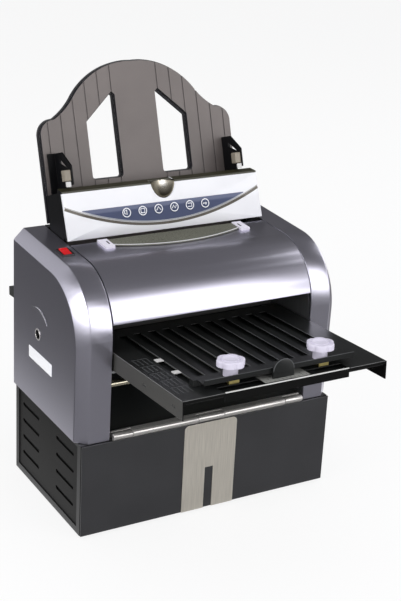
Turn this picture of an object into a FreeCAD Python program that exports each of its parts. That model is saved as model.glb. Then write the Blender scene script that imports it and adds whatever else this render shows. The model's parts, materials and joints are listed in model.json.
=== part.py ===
"""Desk-top paper folding machine: two fold plates, four fold rollers, a tilted paper tray.

+X is the machine's right as its user sees it, -Y is the front, +Z is up. The origin is on the
desk, at the middle of the machine's outline. Every size is in millimetres.
"""
import FreeCAD, Part
import Sketcher
import math
import os
import re

V = FreeCAD.Vector
doc = FreeCAD.newDocument("paper_folding_machine")
sheet = doc.addObject("Spreadsheet::Sheet", "Sizes")
NODES = []
ALIASES = set()

# ---------------------------------------------------------------- driving dimensions

DRIVING = (
    # the base box and what it stands on
    ("bodyWidth", 330), ("bodyDepth", 188), ("baseHeight", 114), ("baseWall", 4),
    ("footHeight", 3), ("footRadius", 9), ("footInset", 24), ("hatchMargin", 14),
    ("ventRecess", 1.3), ("ventBorderFront", 12), ("ventBorderRear", 8), ("ventPlate", 1.5),
    ("ventBorderLow", 8), ("ventBorderTop", 4), ("ventLedge", 7), ("ventGap", 0.6),
    ("ventSlotLength", 48), ("ventSlotHeight", 4.4), ("ventSlotPitch", 21.5),
    ("ventFrontSlot", 24), ("ventRearInset", 67), ("ventLowSlot", 27),
    ("inletInset", 69), ("inletHeight", 40), ("inletWidth", 27), ("inletTall", 20),
    ("inletLip", 2), ("inletDeep", 18), ("inletPin", 2),
    # how far the two fold plates stand out of the body
    ("frontReach", 150), ("rearReach", 116),
    # the side covers: rounded profile, slanted outer border
    ("coverWidth", 39), ("coverOver", 3.5), ("coverWall", 2.5), ("coverSetback", 1.5),
    ("coverToe", 1.5), ("arcRadius", 70), ("arcHeight", 239), ("topSlope", 2.2),
    ("borderWide", 12.5), ("borderBack", 12.5), ("borderDrop", 12),
    ("frameWall", 2.5), ("frameInset", 3.4), ("frameCorner", 23.1), ("crankRadius", 6.2),
    ("crankDepth", 8), ("rodRadius", 4), ("rodFront", 6.5), ("rodBelow", 54.2),
    ("rodRear", 14), ("rodUpperRise", 22), ("rodLowerDrop", 15), ("rodInner", 60), ("rodRise", 9),
    # the middle cover between them
    ("lidGap", 1.2), ("lidWall", 2.5), ("lidLowRise", 17), ("lidRearInset", 71),
    ("lidPivotBack", 5), ("lidPivotDepth", 8), ("lidPinRadius", 3), ("lidCheek", 10),
    # the front wall of the paper hopper, with its keys
    ("panelInset", 68), ("panelRise", 5.65), ("panelTilt", 22),
    ("panelSlant", 56.4), ("panelSkin", 3), ("panelThick", 12), ("capWall", 2.2),
    ("scoopHalf", 16), ("scoopRise", 2), ("scoopTall", 20), ("scoopDeep", 8), ("scoopWall", 1.2),
    ("overlayMargin", 22), ("overlayTop", 32.4), ("overlayLow", 10.3), ("overlayEnd", 1.2),
    ("overlayProud", 0.6), ("keyRadius", 5.7), ("keyPitch", 21), ("keyHeight", 24.5),
    ("keyProud", 1.3), ("keyGap", 0.3), ("keyStem", 1.5), ("keyPocket", 3),
    # the paper tray at the back of the hopper
    ("trayGap", 2.3), ("trayInset", 16.3), ("trayRise", 6.95), ("trayTilt", 18.5),
    ("trayThick", 5), ("trayBelow", 28), ("trayCorner", 106), ("trayNeckIn", 18.7),
    ("trayNeck", 123), ("trayArchHalf", 80), ("trayArch", 149), ("trayTop", 185),
    ("shoulderOut", 0.72), ("shoulderUp", 0.7), ("valleySink", 3), ("archOut", 0.61), ("archUp", 0.72),
    ("windowNear", 27), ("windowEdge", 59.7), ("windowLow", 48.5), ("windowPeak", 151),
    ("windowSide", 118), ("windowRadius", 5), ("windowTopRadius", 2),
    ("windowPeakHalf", 31), ("grooveNear", 31), ("groovePitch", 17.35),
    ("grooveWide", 1.6), ("grooveDeep", 0.8), ("hopperWall", 2),
    ("hopperTop", 36), ("hopperLow", 24), ("guideSlotLow", 8), ("guideSlotTall", 5), ("guideSlotNear", 52),
    ("guideSlotEdge", 3.2),
    # the side guides on the tray
    ("guideEdge", 15.2), ("guideWall", 2), ("guideTop", 84), ("guideShoulder", 67.5),
    ("guideNose", 46), ("guideDeep", 44), ("guideNeck", 30), ("guideTopDeep", 22),
    ("guideFoot", 9), ("guideLift", 0.6), ("guideBelow", 6), ("guideStem", 4),
    ("guideNut", 4), ("guideFrame", 7), ("guideNotch", 2), ("guideSliver", 6),
    ("blockWide", 8), ("blockLow", 50), ("blockTall", 13), ("blockDeep", 10),
    # the label flap and its two hinge clips
    ("flapMargin", 46.5), ("flapDeep", 35.2), ("flapEndDeep", 18.7), ("flapThick", 1.6),
    ("flapRear", 1.8), ("flapLift", 0.5), ("clipGap", 0.6), ("clipWide", 12), ("clipLong", 24),
    ("clipRear", 1), ("clipTall", 3), ("clipPinRadius", 0.6), ("clipPinDeep", 2),
    # the power switch
    ("switchIn", 14), ("switchInset", 90), ("switchWide", 14.7), ("switchLong", 21),
    ("switchRim", 2), ("switchLap", 0.6), ("switchDeep", 7), ("rockerWide", 10),
    ("rockerLong", 15.5), ("rockerProud", 1.3), ("rockerPin", 0.9), ("rockerPinDeep", 1),
    # the fold plates
    ("plateGap", 2.5), ("plateDip", 6.7), ("plateSlope", 3.6), ("plateWall", 1.5),
    ("plateFlange", 21), ("plateInset", 117), ("plateLip", 3.5), ("sheetGap", 2.4),
    ("mouthMargin", 49.5), ("mouthDeep", 17), ("mouthLip", 10), ("railWide", 3),
    ("slotWide", 9), ("slotMargin", 33.5), ("slotFront", 36), ("slotEnd", 20),
    ("knobSlotFront", 21), ("ledgeWide", 9), ("ledgeLong", 67), ("rearLedgeLong", 49),
    ("slideGap", 0.3), ("stopBack", 26), ("stopMargin", 33.5), ("stopAhead", 11.5),
    ("stopDeep", 24), ("stopLift", 0.3), ("stopUpstand", 4), ("stopWall", 1.5),
    ("stopWeb", 3), ("pointerLong", 4.5), ("pointerDeep", 9), ("tabHalf", 13), ("tabTall", 21),
    ("tabAhead", 4), ("tabThick", 2.5), ("nutHalf", 6.3), ("nutSetback", 3.5), ("nutLong", 16),
    ("nutTall", 5), ("knobRadius", 15.6), ("knobTop", 25.8), ("knobHead", 7.8),
    ("knobShank", 8), ("knobLobe", 3.9), ("knobLobeGrow", 1.2),
    ("screwRadius", 2.5), ("rearInset", 54), ("rearRise", 1.6), ("rearFlange", 16),
    ("rearChamfer", 5), ("rearChamferLong", 14), ("rearStopBack", 100), ("rearStopMargin", 47),
    # the fold rollers, their gears and the drive
    ("rollerRadius", 14), ("rollerGap", 3.5), ("shaftRadius", 5), ("shaftOut", 2),
    ("gearTeeth", 19), ("gearModule", 1.5), ("toothBelow", 1.15), ("toothAbove", 0.9),
    ("toothFoot", 0.33), ("toothCrest", 0.1), ("gearWide", 8), ("gearInset", 1.9),
    ("bushRadius", 8), ("bushFlange", 10), ("bushInset", 1), ("fitGap", 0.05),
    ("rollerInset", 72.6), ("rollerDrop", 30.2), ("rollerLean", 34.9), ("fourthInset", 73.1),
    ("fourthDrop", 33.3), ("feedInset", 84), ("feedRise", 47), ("feedRadius", 15),
    ("tyreWide", 34), ("tyrePitch", 72), ("idlerTeeth", 24), ("jackTeeth", 36),
    ("jackPinion", 14), ("motorTeeth", 12), ("jackLean", 4.5), ("motorLean", -61),
    ("motorRadius", 24), ("motorLong", 78), ("wellGap", 2), ("axleDeep", 4), ("sleeveWall", 2.5),
    ("layerGap", 2), ("floorWall", 1.5), ("floorBehind", 10), ("floorLift", 2.5),
    ("floorReach", 23.5), ("facetHalf", 7), ("nipBack", 1.5), ("nipRise", 8.4),
    ("padLean", 45), ("padInset", 2), ("padTall", 9), ("chuteAhead", 12), ("chuteDrop", 5),
    ("chuteFront", 12), ("chuteRise", 1),
    # the rear covers and their screws
    ("rearGap", 3), ("rearLipGap", 2), ("screwEdge", 12), ("screwLow", 10), ("screwMiddle", 55),
    ("screwUpper", 80), ("screwTop", 12),
    # the front flap, its hinge and its pull plate
    ("frontThick", 1.8), ("frontGap", 0.4), ("hingeRadius", 3.9), ("hingeMargin", 3.3),
    ("hingeRise", 4.3), ("hingeBack", 2.4), ("hingePinRadius", 1.5), ("knuckleEnd", 24),
    ("knuckleMiddle", 34), ("knuckleGap", 0.5), ("leafWall", 1.2), ("leafTall", 20),
    ("leafReach", 8), ("leafGap", 1), ("pullGap", 1), ("pullHalf", 35), ("pullThick", 1), ("pullRadius", 6),
    ("pullSlotHalf", 5.5), ("pullSlotTall", 55), ("screwHead", 2.8), ("screwProud", 1.4),
)

DERIVED = (
    ("plateDrop", "(plateFlange + rearChamfer) * sin(plateSlope) / 2"),
    ("frontEdge", "plateDrop - (frontReach + bodyDepth + rearReach) / 2"),
    ("baseFront", "frontEdge + frontReach"),
    ("baseBack", "baseFront + bodyDepth"),
    ("baseTop", "footHeight + baseHeight"),
    ("outerHalf", "bodyWidth / 2 + coverOver"),
    ("innerHalf", "outerHalf - coverWidth"),
    ("frameOuter", "innerHalf + frameWall"),
    ("plateHalf", "innerHalf - plateGap"),
    ("mouthHalf", "plateHalf - mouthMargin"),
    ("slotPitch", "(plateHalf - slotMargin) / 5"),
    ("stopHalf", "plateHalf - stopMargin"),
    ("rearStopHalf", "plateHalf - rearStopMargin"),
    ("rollerHalf", "innerHalf - rollerGap"),
    ("hingeHalf", "innerHalf - hingeMargin"),
    ("hingeHeight", "baseTop + hingeRise"),
    ("flapHalf", "innerHalf - flapMargin"),
    ("panelHalf", "innerHalf"),
    ("overlayHalf", "panelHalf - overlayMargin"),
    ("trayHalf", "innerHalf - trayGap"),
    ("trayNeckHalf", "trayHalf - trayNeckIn"),
    ("windowFar", "trayHalf - windowEdge"),
    ("guideSlotFar", "trayHalf - guideSlotEdge"),
    ("guideNear", "trayHalf - guideEdge"),
    ("switchAcross", "innerHalf + switchIn"),
    ("switchBack", "bodyDepth - switchInset"),
    ("inletAcross", "bodyWidth / 2 - inletInset"),
    ("lidLowEdge", "arcHeight + lidLowRise"),
    ("lidRearEdge", "bodyDepth - lidRearInset"),
    ("panelBack", "bodyDepth - panelInset"),
    ("trayBack", "bodyDepth - trayInset"),
    ("rodHeight", "arcHeight - rodBelow"),
    ("rodUpper", "arcHeight + rodUpperRise"),
    ("rodLower", "arcHeight - rodLowerDrop"),
    ("plateHeight", "arcHeight - plateDip"),
    ("plateInner", "bodyDepth - plateInset"),
    ("rearInner", "bodyDepth - rearInset"),
    ("rollerBack", "bodyDepth - rollerInset"),
    ("rollerHeight", "arcHeight - rollerDrop"),
    ("rearHeight", "rollerHeight + rearRise"),
    ("fourthBack", "bodyDepth - fourthInset"),
    ("fourthHeight", "rollerHeight - fourthDrop"),
    ("feedBack", "bodyDepth - feedInset"),
    ("feedHeight", "arcHeight + feedRise"),
    ("coverFront", "baseFront + coverSetback"),
    ("ventRearSlot", "bodyDepth - ventRearInset"),
    ("housingFront", "baseFront + frontThick + leafWall + frontGap"),
    ("hingeAxis", "baseFront + hingeBack"),
    ("gearPitch", "gearTeeth * gearModule"),
    ("gearNear", "frameOuter + gearInset"),
    ("jackNear", "gearNear + gearWide + layerGap"),
    ("arcBack", "coverFront + arcRadius"),
    ("arcEnd", "arcBack - arcRadius * sin(topSlope)"),
    ("arcTop", "arcHeight + arcRadius * cos(topSlope)"),
    ("lidTop", "arcTop + (baseFront + lidRearEdge - arcEnd) * tan(topSlope)"),
    ("coverTop", "arcTop + (baseBack - arcEnd) * tan(topSlope)"),
    ("panelHeight", "arcTop + panelRise"),
    ("trayHeight", "arcTop + trayRise"),
    ("lidPivotY", "baseFront + lidRearEdge - lidPivotBack"),
    ("lidPivotZ", "lidTop - lidPivotBack * tan(topSlope) - lidPivotDepth"),
    ("plateLength", "(frontReach + plateInner) / cos(plateSlope)"),
    ("rearStart", "baseFront + rearInner"),
    ("rearLength", "(baseBack + rearReach - rearStart) / cos(plateSlope)"),
    ("knobAcross", "3 * slotPitch"),
    ("rollerY", "baseFront + rollerBack"),
    ("outerRollerY", "rollerY - gearPitch * cos(rollerLean)"),
    ("topRollerZ", "rollerHeight + gearPitch * sin(rollerLean)"),
    ("lowRollerZ", "rollerHeight - gearPitch * sin(rollerLean)"),
    ("fourthY", "baseFront + fourthBack"),
    ("feedY", "baseFront + feedBack"),
    ("jackReach", "(gearTeeth + jackPinion) * gearModule / 2"),
    ("jackY", "fourthY + jackReach * cos(jackLean)"),
    ("jackZ", "fourthHeight + jackReach * sin(jackLean)"),
    ("motorReach", "(jackTeeth + motorTeeth) * gearModule / 2"),
    ("motorY", "jackY + motorReach * cos(motorLean)"),
    ("motorZ", "jackZ + motorReach * sin(motorLean)"),
    ("feedReach", "(idlerTeeth + gearTeeth) * gearModule / 2"),
    ("feedSpan", "sqrt((feedY - outerRollerY) ^ 2 + (feedHeight - topRollerZ) ^ 2)"),
    ("feedLean", "atan2(feedHeight - topRollerZ; feedY - outerRollerY)"),
    ("idlerLean", "feedLean + acos(feedSpan / 2 / feedReach)"),
    ("idlerY", "outerRollerY + feedReach * cos(idlerLean)"),
    ("idlerZ", "topRollerZ + feedReach * sin(idlerLean)"),
)

for row, (alias, value) in enumerate(DRIVING, start=1):
    sheet.set(f"A{row}", alias)
    sheet.set(f"B{row}", str(value))
    sheet.setAlias(f"B{row}", alias)
    ALIASES.add(alias)
for row, (alias, formula) in enumerate(DERIVED, start=len(DRIVING) + 2):
    sheet.set(f"A{row}", alias)
    sheet.set(f"B{row}", "=" + formula)
    sheet.setAlias(f"B{row}", alias)
    ALIASES.add(alias)
doc.recompute()


def size(alias):
    """The value of one named size."""
    return float(sheet.get(alias))


# ---------------------------------------------------------------- ways of making a piece


def bind(item, path, text):
    """Binds one property to a formula in the sheet's names."""
    linked = re.sub(r"[A-Za-z_]\w*", lambda m: "Sizes." + m[0] if m[0] in ALIASES else m[0], text)
    item.setExpression(path, linked)


def worth(text):
    """What a sum of named sizes comes to."""
    plain = re.sub(r"[A-Za-z_]\w*", lambda m: f"({size(m[0])})", text)
    return float(FreeCAD.Units.Quantity(plain).Value)


def seat(item, place, turn=None, axis=V(1, 0, 0)):
    """Places a piece by formulas, turned about one axis by a formula in degrees."""
    item.Placement = FreeCAD.Placement(V(), FreeCAD.Rotation(axis, 10 if turn else 0))
    for letter, text in zip("xyz", place):
        bind(item, "Placement.Base." + letter, text)
    if turn:
        bind(item, "Placement.Rotation.Angle", turn)
    return item


def box(name, low, extent):
    """A block from its low corner, with its three sizes."""
    item = doc.addObject("Part::Box", name)
    for path, text in zip(("Length", "Width", "Height"), extent):
        bind(item, path, text)
    return seat(item, low)


def beside(name, sign, near, far, low, extent):
    """A block between two distances from the middle plane, on one side of it."""
    start = near if sign > 0 else f"-({far})"
    return box(name, (start,) + low, (f"{far} - ({near})",) + extent)


def rod(name, radius, start, length, along="x"):
    """A round bar that starts at a point and runs along an axis."""
    item = doc.addObject("Part::Cylinder", name)
    bind(item, "Radius", radius)
    bind(item, "Height", length)
    axis, turn = {"x": (V(0, 1, 0), "90"), "y": (V(1, 0, 0), "-90"), "z": (V(1, 0, 0), None)}[along]
    return seat(item, start, turn, axis)


def joined(name, items):
    """Several shapes as one solid."""
    item = doc.addObject("Part::MultiFuse", name)
    item.Shapes = items
    item.Refine = True
    return item


def without(name, base, tools):
    """A shape with others cut away."""
    item = doc.addObject("Part::Cut", name)
    item.Base = base
    item.Tool = tools[0] if len(tools) == 1 else joined(name + "_cuts", tools)
    item.Refine = True
    return item


def group(name, items):
    """Separate solids that share one node."""
    item = doc.addObject("Part::Compound", name)
    item.Links = items
    return item


def driven(sketch, kind, edge, point, text):
    """Ties one coordinate of a sketch point to a formula."""
    which = sketch.addConstraint(Sketcher.Constraint(kind, -1, 1, edge, point, worth(text)))
    bind(sketch, f"Constraints[{which}]", text)


def profile(name, plane, outline, length, offset="0", holes=()):
    """A body padded from one sketch: an outline of straight edges, and round holes."""
    body = doc.addObject("PartDesign::Body", name)
    sketch = body.newObject("Sketcher::SketchObject", name + "_sketch")
    side = [f for f in body.Origin.OriginFeatures if f.Role == plane][0]
    sketch.AttachmentSupport = [(side, "")]
    sketch.MapMode = "FlatFace"
    bind(sketch, "AttachmentOffset.Base.z", offset)
    count = len(outline)
    corners = [V(worth(across), worth(up), 0) for across, up in outline]
    for i in range(count):
        sketch.addGeometry(Part.LineSegment(corners[i], corners[(i + 1) % count]), False)
    for i in range(count):
        sketch.addConstraint(Sketcher.Constraint("Coincident", i, 2, (i + 1) % count, 1))
    for i, (across, up) in enumerate(outline):
        driven(sketch, "DistanceX", i, 1, across)
        driven(sketch, "DistanceY", i, 1, up)
    for i, (across, up, radius) in enumerate(holes, start=count):
        sketch.addGeometry(Part.Circle(V(worth(across), worth(up), 0), V(0, 0, 1), worth(radius)), False)
        driven(sketch, "DistanceX", i, 3, across)
        driven(sketch, "DistanceY", i, 3, up)
        which = sketch.addConstraint(Sketcher.Constraint("Radius", i, worth(radius)))
        bind(sketch, f"Constraints[{which}]", radius)
    pad = body.newObject("PartDesign::Pad", name + "_pad")
    pad.Profile = sketch
    bind(pad, "Length", length)
    return body


def shaped(name, shape, place=None):
    """A piece whose shape comes from Part's own functions."""
    item = doc.addObject("Part::Feature", name)
    item.Shape = shape
    if place:
        item.Placement = place
    return item


def node(item, label):
    """Names a finished piece."""
    item.Label = label
    NODES.append(item)
    return item


def prism(edges, direction):
    """A solid from a closed chain of edges, pulled along a direction."""
    return Part.Face(Part.Wire(edges)).extrude(direction)


def line(start, end):
    return Part.LineSegment(start, end).toShape()


def arc(start, middle, end):
    return Part.Arc(start, middle, end).toShape()


def outline_edges(points, close=True):
    """Straight edges from point to point."""
    ends = points[1:] + points[:1] if close else points[1:]
    return [line(a, b) for a, b in zip(points, ends)]


# ---------------------------------------------------------------- the base


def build_base():
    """The steel base box: walls, a roof with a hatch and a well for the motor, two side windows."""
    outer = box("base_block", ("-bodyWidth / 2", "housingFront", "footHeight"),
                ("bodyWidth", "baseBack - housingFront", "baseHeight"))
    hollow = box("base_hollow",
                 ("-bodyWidth / 2 + baseWall", "housingFront + baseWall", "footHeight - 1"),
                 ("bodyWidth - 2 * baseWall", "baseBack - housingFront - 2 * baseWall",
                  "baseHeight - baseWall + 1"))
    hatch = box("base_hatch",
                ("-innerHalf + hatchMargin", "housingFront + hatchMargin", "baseTop - baseWall - 1"),
                ("2 * (innerHalf - hatchMargin)", "baseBack - housingFront - 2 * hatchMargin",
                 "baseWall + 2"))
    inlet = box("inlet_opening",
                ("inletAcross - inletWidth / 2", "baseBack - baseWall - 1", "inletHeight - inletTall / 2"),
                ("inletWidth", "baseWall + 2", "inletTall"))
    well = box("motor_well",
               ("-jackNear - gearWide - wellGap", "motorY - motorRadius - wellGap",
                "baseTop - baseWall - 1"),
               ("jackNear + gearWide - innerHalf + motorLong + 2 * wellGap",
                "2 * (motorRadius + wellGap)", "baseWall + 2"))
    cuts = [hollow, hatch, well, inlet]
    for sign, side in ((-1, "left"), (1, "right")):
        cuts.append(beside("window_" + side, sign, "bodyWidth / 2 - ventRecess - ventPlate",
                           "bodyWidth / 2 + 1",
                           ("baseFront + ventBorderFront", "footHeight + ventBorderLow"),
                           ("bodyDepth - ventBorderFront - ventBorderRear",
                            "baseHeight - ventBorderLow - ventBorderTop")))
        cuts.append(beside("port_" + side, sign, "bodyWidth / 2 - baseWall - 1", "bodyWidth / 2",
                           ("baseFront + ventBorderFront + ventLedge",
                            "footHeight + ventBorderLow + ventLedge"),
                           ("bodyDepth - ventBorderFront - ventBorderRear - 2 * ventLedge",
                            "baseHeight - ventBorderLow - ventBorderTop - 2 * ventLedge")))
    node(without("base_shape", outer, cuts), "base_housing")


def build_side_panels():
    """A louvred panel in each side window of the base, resting on the window's ledge."""
    for sign, side in ((-1, "left"), (1, "right")):
        outer = "bodyWidth / 2 - ventRecess - ventPlate"
        plate = beside("louvred_" + side, sign, outer, outer + " + ventPlate",
                       ("baseFront + ventBorderFront + ventGap", "footHeight + ventBorderLow + ventGap"),
                       ("bodyDepth - ventBorderFront - ventBorderRear - 2 * ventGap",
                        "baseHeight - ventBorderLow - ventBorderTop - 2 * ventGap"))
        inside = outer + " - 1" if sign > 0 else "-(" + outer + " + ventPlate + 1)"
        slots = []
        for column in ("ventFrontSlot", "ventRearSlot"):
            for level in range(4):
                name = f"{side}_{column}_{level}"
                back, up = "baseFront + " + column, f"footHeight + ventLowSlot + {level} * ventSlotPitch"
                slots.append(beside("louvre_" + name, sign, outer + " - 1", outer + " + ventPlate + 1",
                                    (back + " + ventSlotHeight / 2", up),
                                    ("ventSlotLength - ventSlotHeight", "ventSlotHeight")))
                for end, along in (("near", "ventSlotHeight / 2"),
                                   ("far", "ventSlotLength - ventSlotHeight / 2")):
                    slots.append(rod(f"louvre_{end}_" + name, "ventSlotHeight / 2",
                                     (inside, back + " + " + along, up + " + ventSlotHeight / 2"),
                                     "ventPlate + 2"))
        node(without("side_panel_shape_" + side, plate, slots), "side_panel_" + side)


def build_feet():
    """Four rubber feet under the corners of the base."""
    feet = []
    for i, across in enumerate(("-bodyWidth / 2 + footInset", "bodyWidth / 2 - footInset")):
        for j, back in enumerate(("baseFront + footInset", "baseBack - footInset")):
            feet.append(rod(f"foot_{i}{j}", "footRadius", (across, back, "0"), "footHeight", "z"))
    node(group("feet", feet), "rubber_feet")


def build_inlet():
    """The mains inlet: a lipped socket with three pins, in the base's rear wall."""
    low = "inletHeight - inletTall / 2"
    lip = box("inlet_lip", ("inletAcross - inletWidth / 2 - inletLip", "baseBack", low + " - inletLip"),
              ("inletWidth + 2 * inletLip", "inletLip", "inletTall + 2 * inletLip"))
    shell = box("inlet_shell",
                ("inletAcross - inletWidth / 2 + fitGap", "baseBack - inletDeep", low + " + fitGap"),
                ("inletWidth - 2 * fitGap", "inletDeep", "inletTall - 2 * fitGap"))
    socket = box("inlet_socket",
                 ("inletAcross - inletWidth / 2 + inletLip", "baseBack - inletDeep + inletLip",
                  low + " + inletLip"),
                 ("inletWidth - 2 * inletLip", "inletDeep + 1", "inletTall - 2 * inletLip"))
    body = without("inlet_body", joined("inlet_block", [lip, shell]), [socket])
    pins = [box(f"inlet_pin_{i}",
                (f"inletAcross - inletPin / 2 + {i} * inletWidth / 4",
                 "baseBack - inletDeep + inletLip - 1", f"inletHeight + {rise} * inletPin"),
                ("inletPin", "inletDeep / 2", "2 * inletPin"))
            for i, rise in ((-1, -1), (0, 0), (1, -1))]
    node(joined("inlet_shape", [body] + pins), "mains_inlet")


# ---------------------------------------------------------------- the side covers


def cover_outline(across, back=0.0, drop=0.0, inset=0.0):
    """The rounded profile of a side cover at one distance from the middle, as a closed wire."""
    slope = math.radians(size("topSlope"))
    radius = size("arcRadius") - inset
    front = size("coverFront") + back
    toe = front + size("coverToe") + inset
    centre = V(across, size("arcBack") + back, size("arcHeight") - drop)
    rear = size("baseBack") - inset
    start = V(across, front + inset, centre.z)
    crown = math.pi / 4 + slope / 2
    middle = centre + V(0, -math.cos(crown), math.sin(crown)) * radius
    end = centre + V(0, -math.sin(slope), math.cos(slope)) * radius
    corner = V(across, rear, end.z + (rear - end.y) * math.tan(slope))
    foot = V(across, rear, size("baseTop"))
    toe_end = V(across, toe, size("baseTop"))
    edges = [line(toe_end, start), arc(start, middle, end), line(end, corner), line(corner, foot),
             line(foot, toe_end)]
    return Part.Wire(edges)


def switch_box(slack=0.0):
    """The block of the power switch below its flange, level with the left cover's top."""
    wide, long = [size(name) - 2 * size("switchLap") - slack for name in ("switchWide", "switchLong")]
    deep = size("switchDeep")
    block = Part.makeBox(wide, long, deep + 1, V(-wide / 2, -long / 2, -deep))
    block.Placement = switch_place()
    return block


def switch_place():
    """Where the switch sits: on the sloping top of the left cover."""
    back = size("baseFront") + size("switchBack")
    rise = math.tan(math.radians(size("topSlope")))
    top = size("arcTop") + (back - size("arcEnd")) * rise
    return FreeCAD.Placement(V(-size("switchAcross"), back, top),
                             FreeCAD.Rotation(V(1, 0, 0), size("topSlope")))


def build_side_covers():
    """The two moulded covers: hollow shells, open towards the middle and at the bottom."""
    inner = size("innerHalf")
    outer = size("outerHalf")
    edge = outer - size("borderWide")
    wall = size("coverWall")
    back, drop = size("borderBack"), size("borderDrop")
    flat = Part.Face(cover_outline(inner)).extrude(V(edge - inner, 0, 0))
    border = Part.makeLoft([cover_outline(edge), cover_outline(outer, back, drop)], True, True)
    share = (outer - wall - edge) / (outer - edge)
    start = edge - wall / 3
    room = Part.Face(cover_outline(inner - 1, inset=wall)).extrude(V(start - inner + 1, 0, 0))
    slant = Part.makeLoft([cover_outline(start, inset=wall),
                           cover_outline(outer - wall, back * share, drop * share, wall)], True, True)
    shell = flat.fuse(border).removeSplitter().cut(room.fuse(slant))
    crank = Part.makeCylinder(size("crankRadius"), 3 * wall,
                              V(-outer - wall, size("rollerY"), size("rollerHeight")), V(1, 0, 0))
    left = shell.mirror(V(), V(1, 0, 0)).cut(switch_box()).cut(crank)
    node(shaped("cover_left", left), "side_cover_left")
    node(shaped("cover_right", shell), "side_cover_right")


# ---------------------------------------------------------------- the inner frame


def shaft_holes():
    """Where the shafts, the lid's pins and the motor's shaft pass a frame plate."""
    shaft = "bushRadius"
    return [("outerRollerY", "topRollerZ", shaft), ("rollerY", "rollerHeight", shaft),
            ("outerRollerY", "lowRollerZ", shaft), ("fourthY", "fourthHeight", shaft),
            ("feedY", "feedHeight", shaft), ("lidPivotY", "lidPivotZ", "lidPinRadius + fitGap")]


def plate_ledge(name, sign, start_y, start_z, back, flange, long):
    """A sloping ledge on a frame plate's inner face, just under a fold plate's flange."""
    ledge = box(name, ("0", "0", "0"), ("ledgeWide + frameWall / 2", long, "frameWall"))
    across = "innerHalf - ledgeWide" if sign > 0 else "-innerHalf - frameWall / 2"
    drop = f"({flange} + slideGap + frameWall)"
    return seat(ledge, (across, f"{start_y} + ({back}) * cos(plateSlope) - {drop} * sin(plateSlope)",
                        f"{start_z} - ({back}) * sin(plateSlope) - {drop} * cos(plateSlope)"),
                "-plateSlope")


def build_frame_plates():
    """Two steel plates that carry the rollers, each with a ledge for the front fold plate."""
    low = "baseTop"
    front = "coverFront + coverToe + frameInset"
    rear = "baseBack - frameInset"
    outline = [(front, low), (front, "arcHeight"),
               ("coverFront + frameCorner", "arcHeight + arcRadius - frameCorner"),
               ("arcEnd", "arcTop - frameInset"), (rear, "coverTop - frameInset"), (rear, low)]
    for sign, side in ((-1, "left"), (1, "right")):
        offset = "innerHalf" if sign > 0 else "-innerHalf - frameWall"
        holes = shaft_holes()
        if sign < 0:
            holes.append(("motorY", "motorZ", "shaftRadius"))
        plate = profile("frame_" + side, "YZ_Plane", outline, "frameWall", offset, holes)
        pieces = [plate, plate_ledge("front_ledge_" + side, sign, "frontEdge", "plateHeight",
                                     "frontReach + coverSetback + coverToe + frameInset",
                                     "plateFlange", "ledgeLong"),
                  plate_ledge("rear_ledge_" + side, sign, "rearStart", "rearHeight", "plateWall",
                              "rearFlange", "rearLedgeLong")]
        if sign < 0:
            pieces += [rod("idler_stud", "shaftRadius", ("-gearNear - gearWide", "idlerY", "idlerZ"),
                           "gearNear + gearWide - innerHalf"),
                       rod("jack_stud", "shaftRadius", ("-jackNear - gearWide", "jackY", "jackZ"),
                           "jackNear + gearWide - innerHalf")]
        node(joined("frame_shape_" + side, pieces), "frame_plate_" + side)


def build_tie_rods():
    """Four round bars that hold the two frame plates apart."""
    places = (("coverFront + rodFront", "rodHeight"), ("baseBack - rodRear", "rodUpper"),
              ("baseBack - rodRear", "rodLower"), ("baseFront + rodInner", "baseTop + rodRise"))
    rods = [rod(f"tie_rod_{i}", "rodRadius", ("-innerHalf", back, up), "2 * innerHalf")
            for i, (back, up) in enumerate(places)]
    node(group("tie_rod_set", rods), "tie_rods")


def build_bushes():
    """Flanged bushes in the frame plates, one at each end of each shaft."""
    bushes = []
    for i, (back, up, _) in enumerate(shaft_holes()[:5]):
        for sign, side in ((-1, "left"), (1, "right")):
            start = "innerHalf" if sign > 0 else "-frameOuter"
            flange = "innerHalf - bushInset" if sign > 0 else "-innerHalf"
            barrel = rod(f"bush_{side}{i}", "bushRadius", (start, back, up), "frameWall")
            rim = rod(f"bush_rim_{side}{i}", "bushFlange", (flange, back, up), "bushInset")
            bore = rod(f"bush_bore_{side}{i}", "shaftRadius + fitGap",
                       ("innerHalf - bushInset - 1" if sign > 0 else "-frameOuter - 1", back, up),
                       "frameWall + bushInset + 2")
            bushes.append(without(f"bush_whole_{side}{i}", joined(f"bush_pair_{side}{i}", [barrel, rim]),
                                  [bore]))
    node(group("bush_set", bushes), "bearing_bushes")


# ---------------------------------------------------------------- the middle cover and label flap


def lid_section(across, depth):
    """The middle cover's side profile, of one depth, from its front edge over to its rear one."""
    slope = math.radians(size("topSlope"))
    centre = V(across, size("arcBack"), size("arcHeight"))
    tip = (size("lidLowEdge") - centre.z) / size("arcRadius")
    low = math.asin(tip)
    rear = V(across, size("baseFront") + size("lidRearEdge"), size("lidTop"))
    inward = V(0, math.sin(slope), -math.cos(slope)) * depth

    def around(angle, radius):
        return centre + V(0, -math.cos(angle), math.sin(angle)) * radius

    outer, inner = size("arcRadius"), size("arcRadius") - depth
    crown = math.pi / 2 - slope
    half = (low + crown) / 2
    return [arc(around(low, outer), around(half, outer), around(crown, outer)),
            line(around(crown, outer), rear), line(rear, rear + inward),
            line(rear + inward, around(crown, inner)),
            arc(around(crown, inner), around(half, inner), around(low, inner)),
            line(around(low, inner), around(low, outer))]


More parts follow.
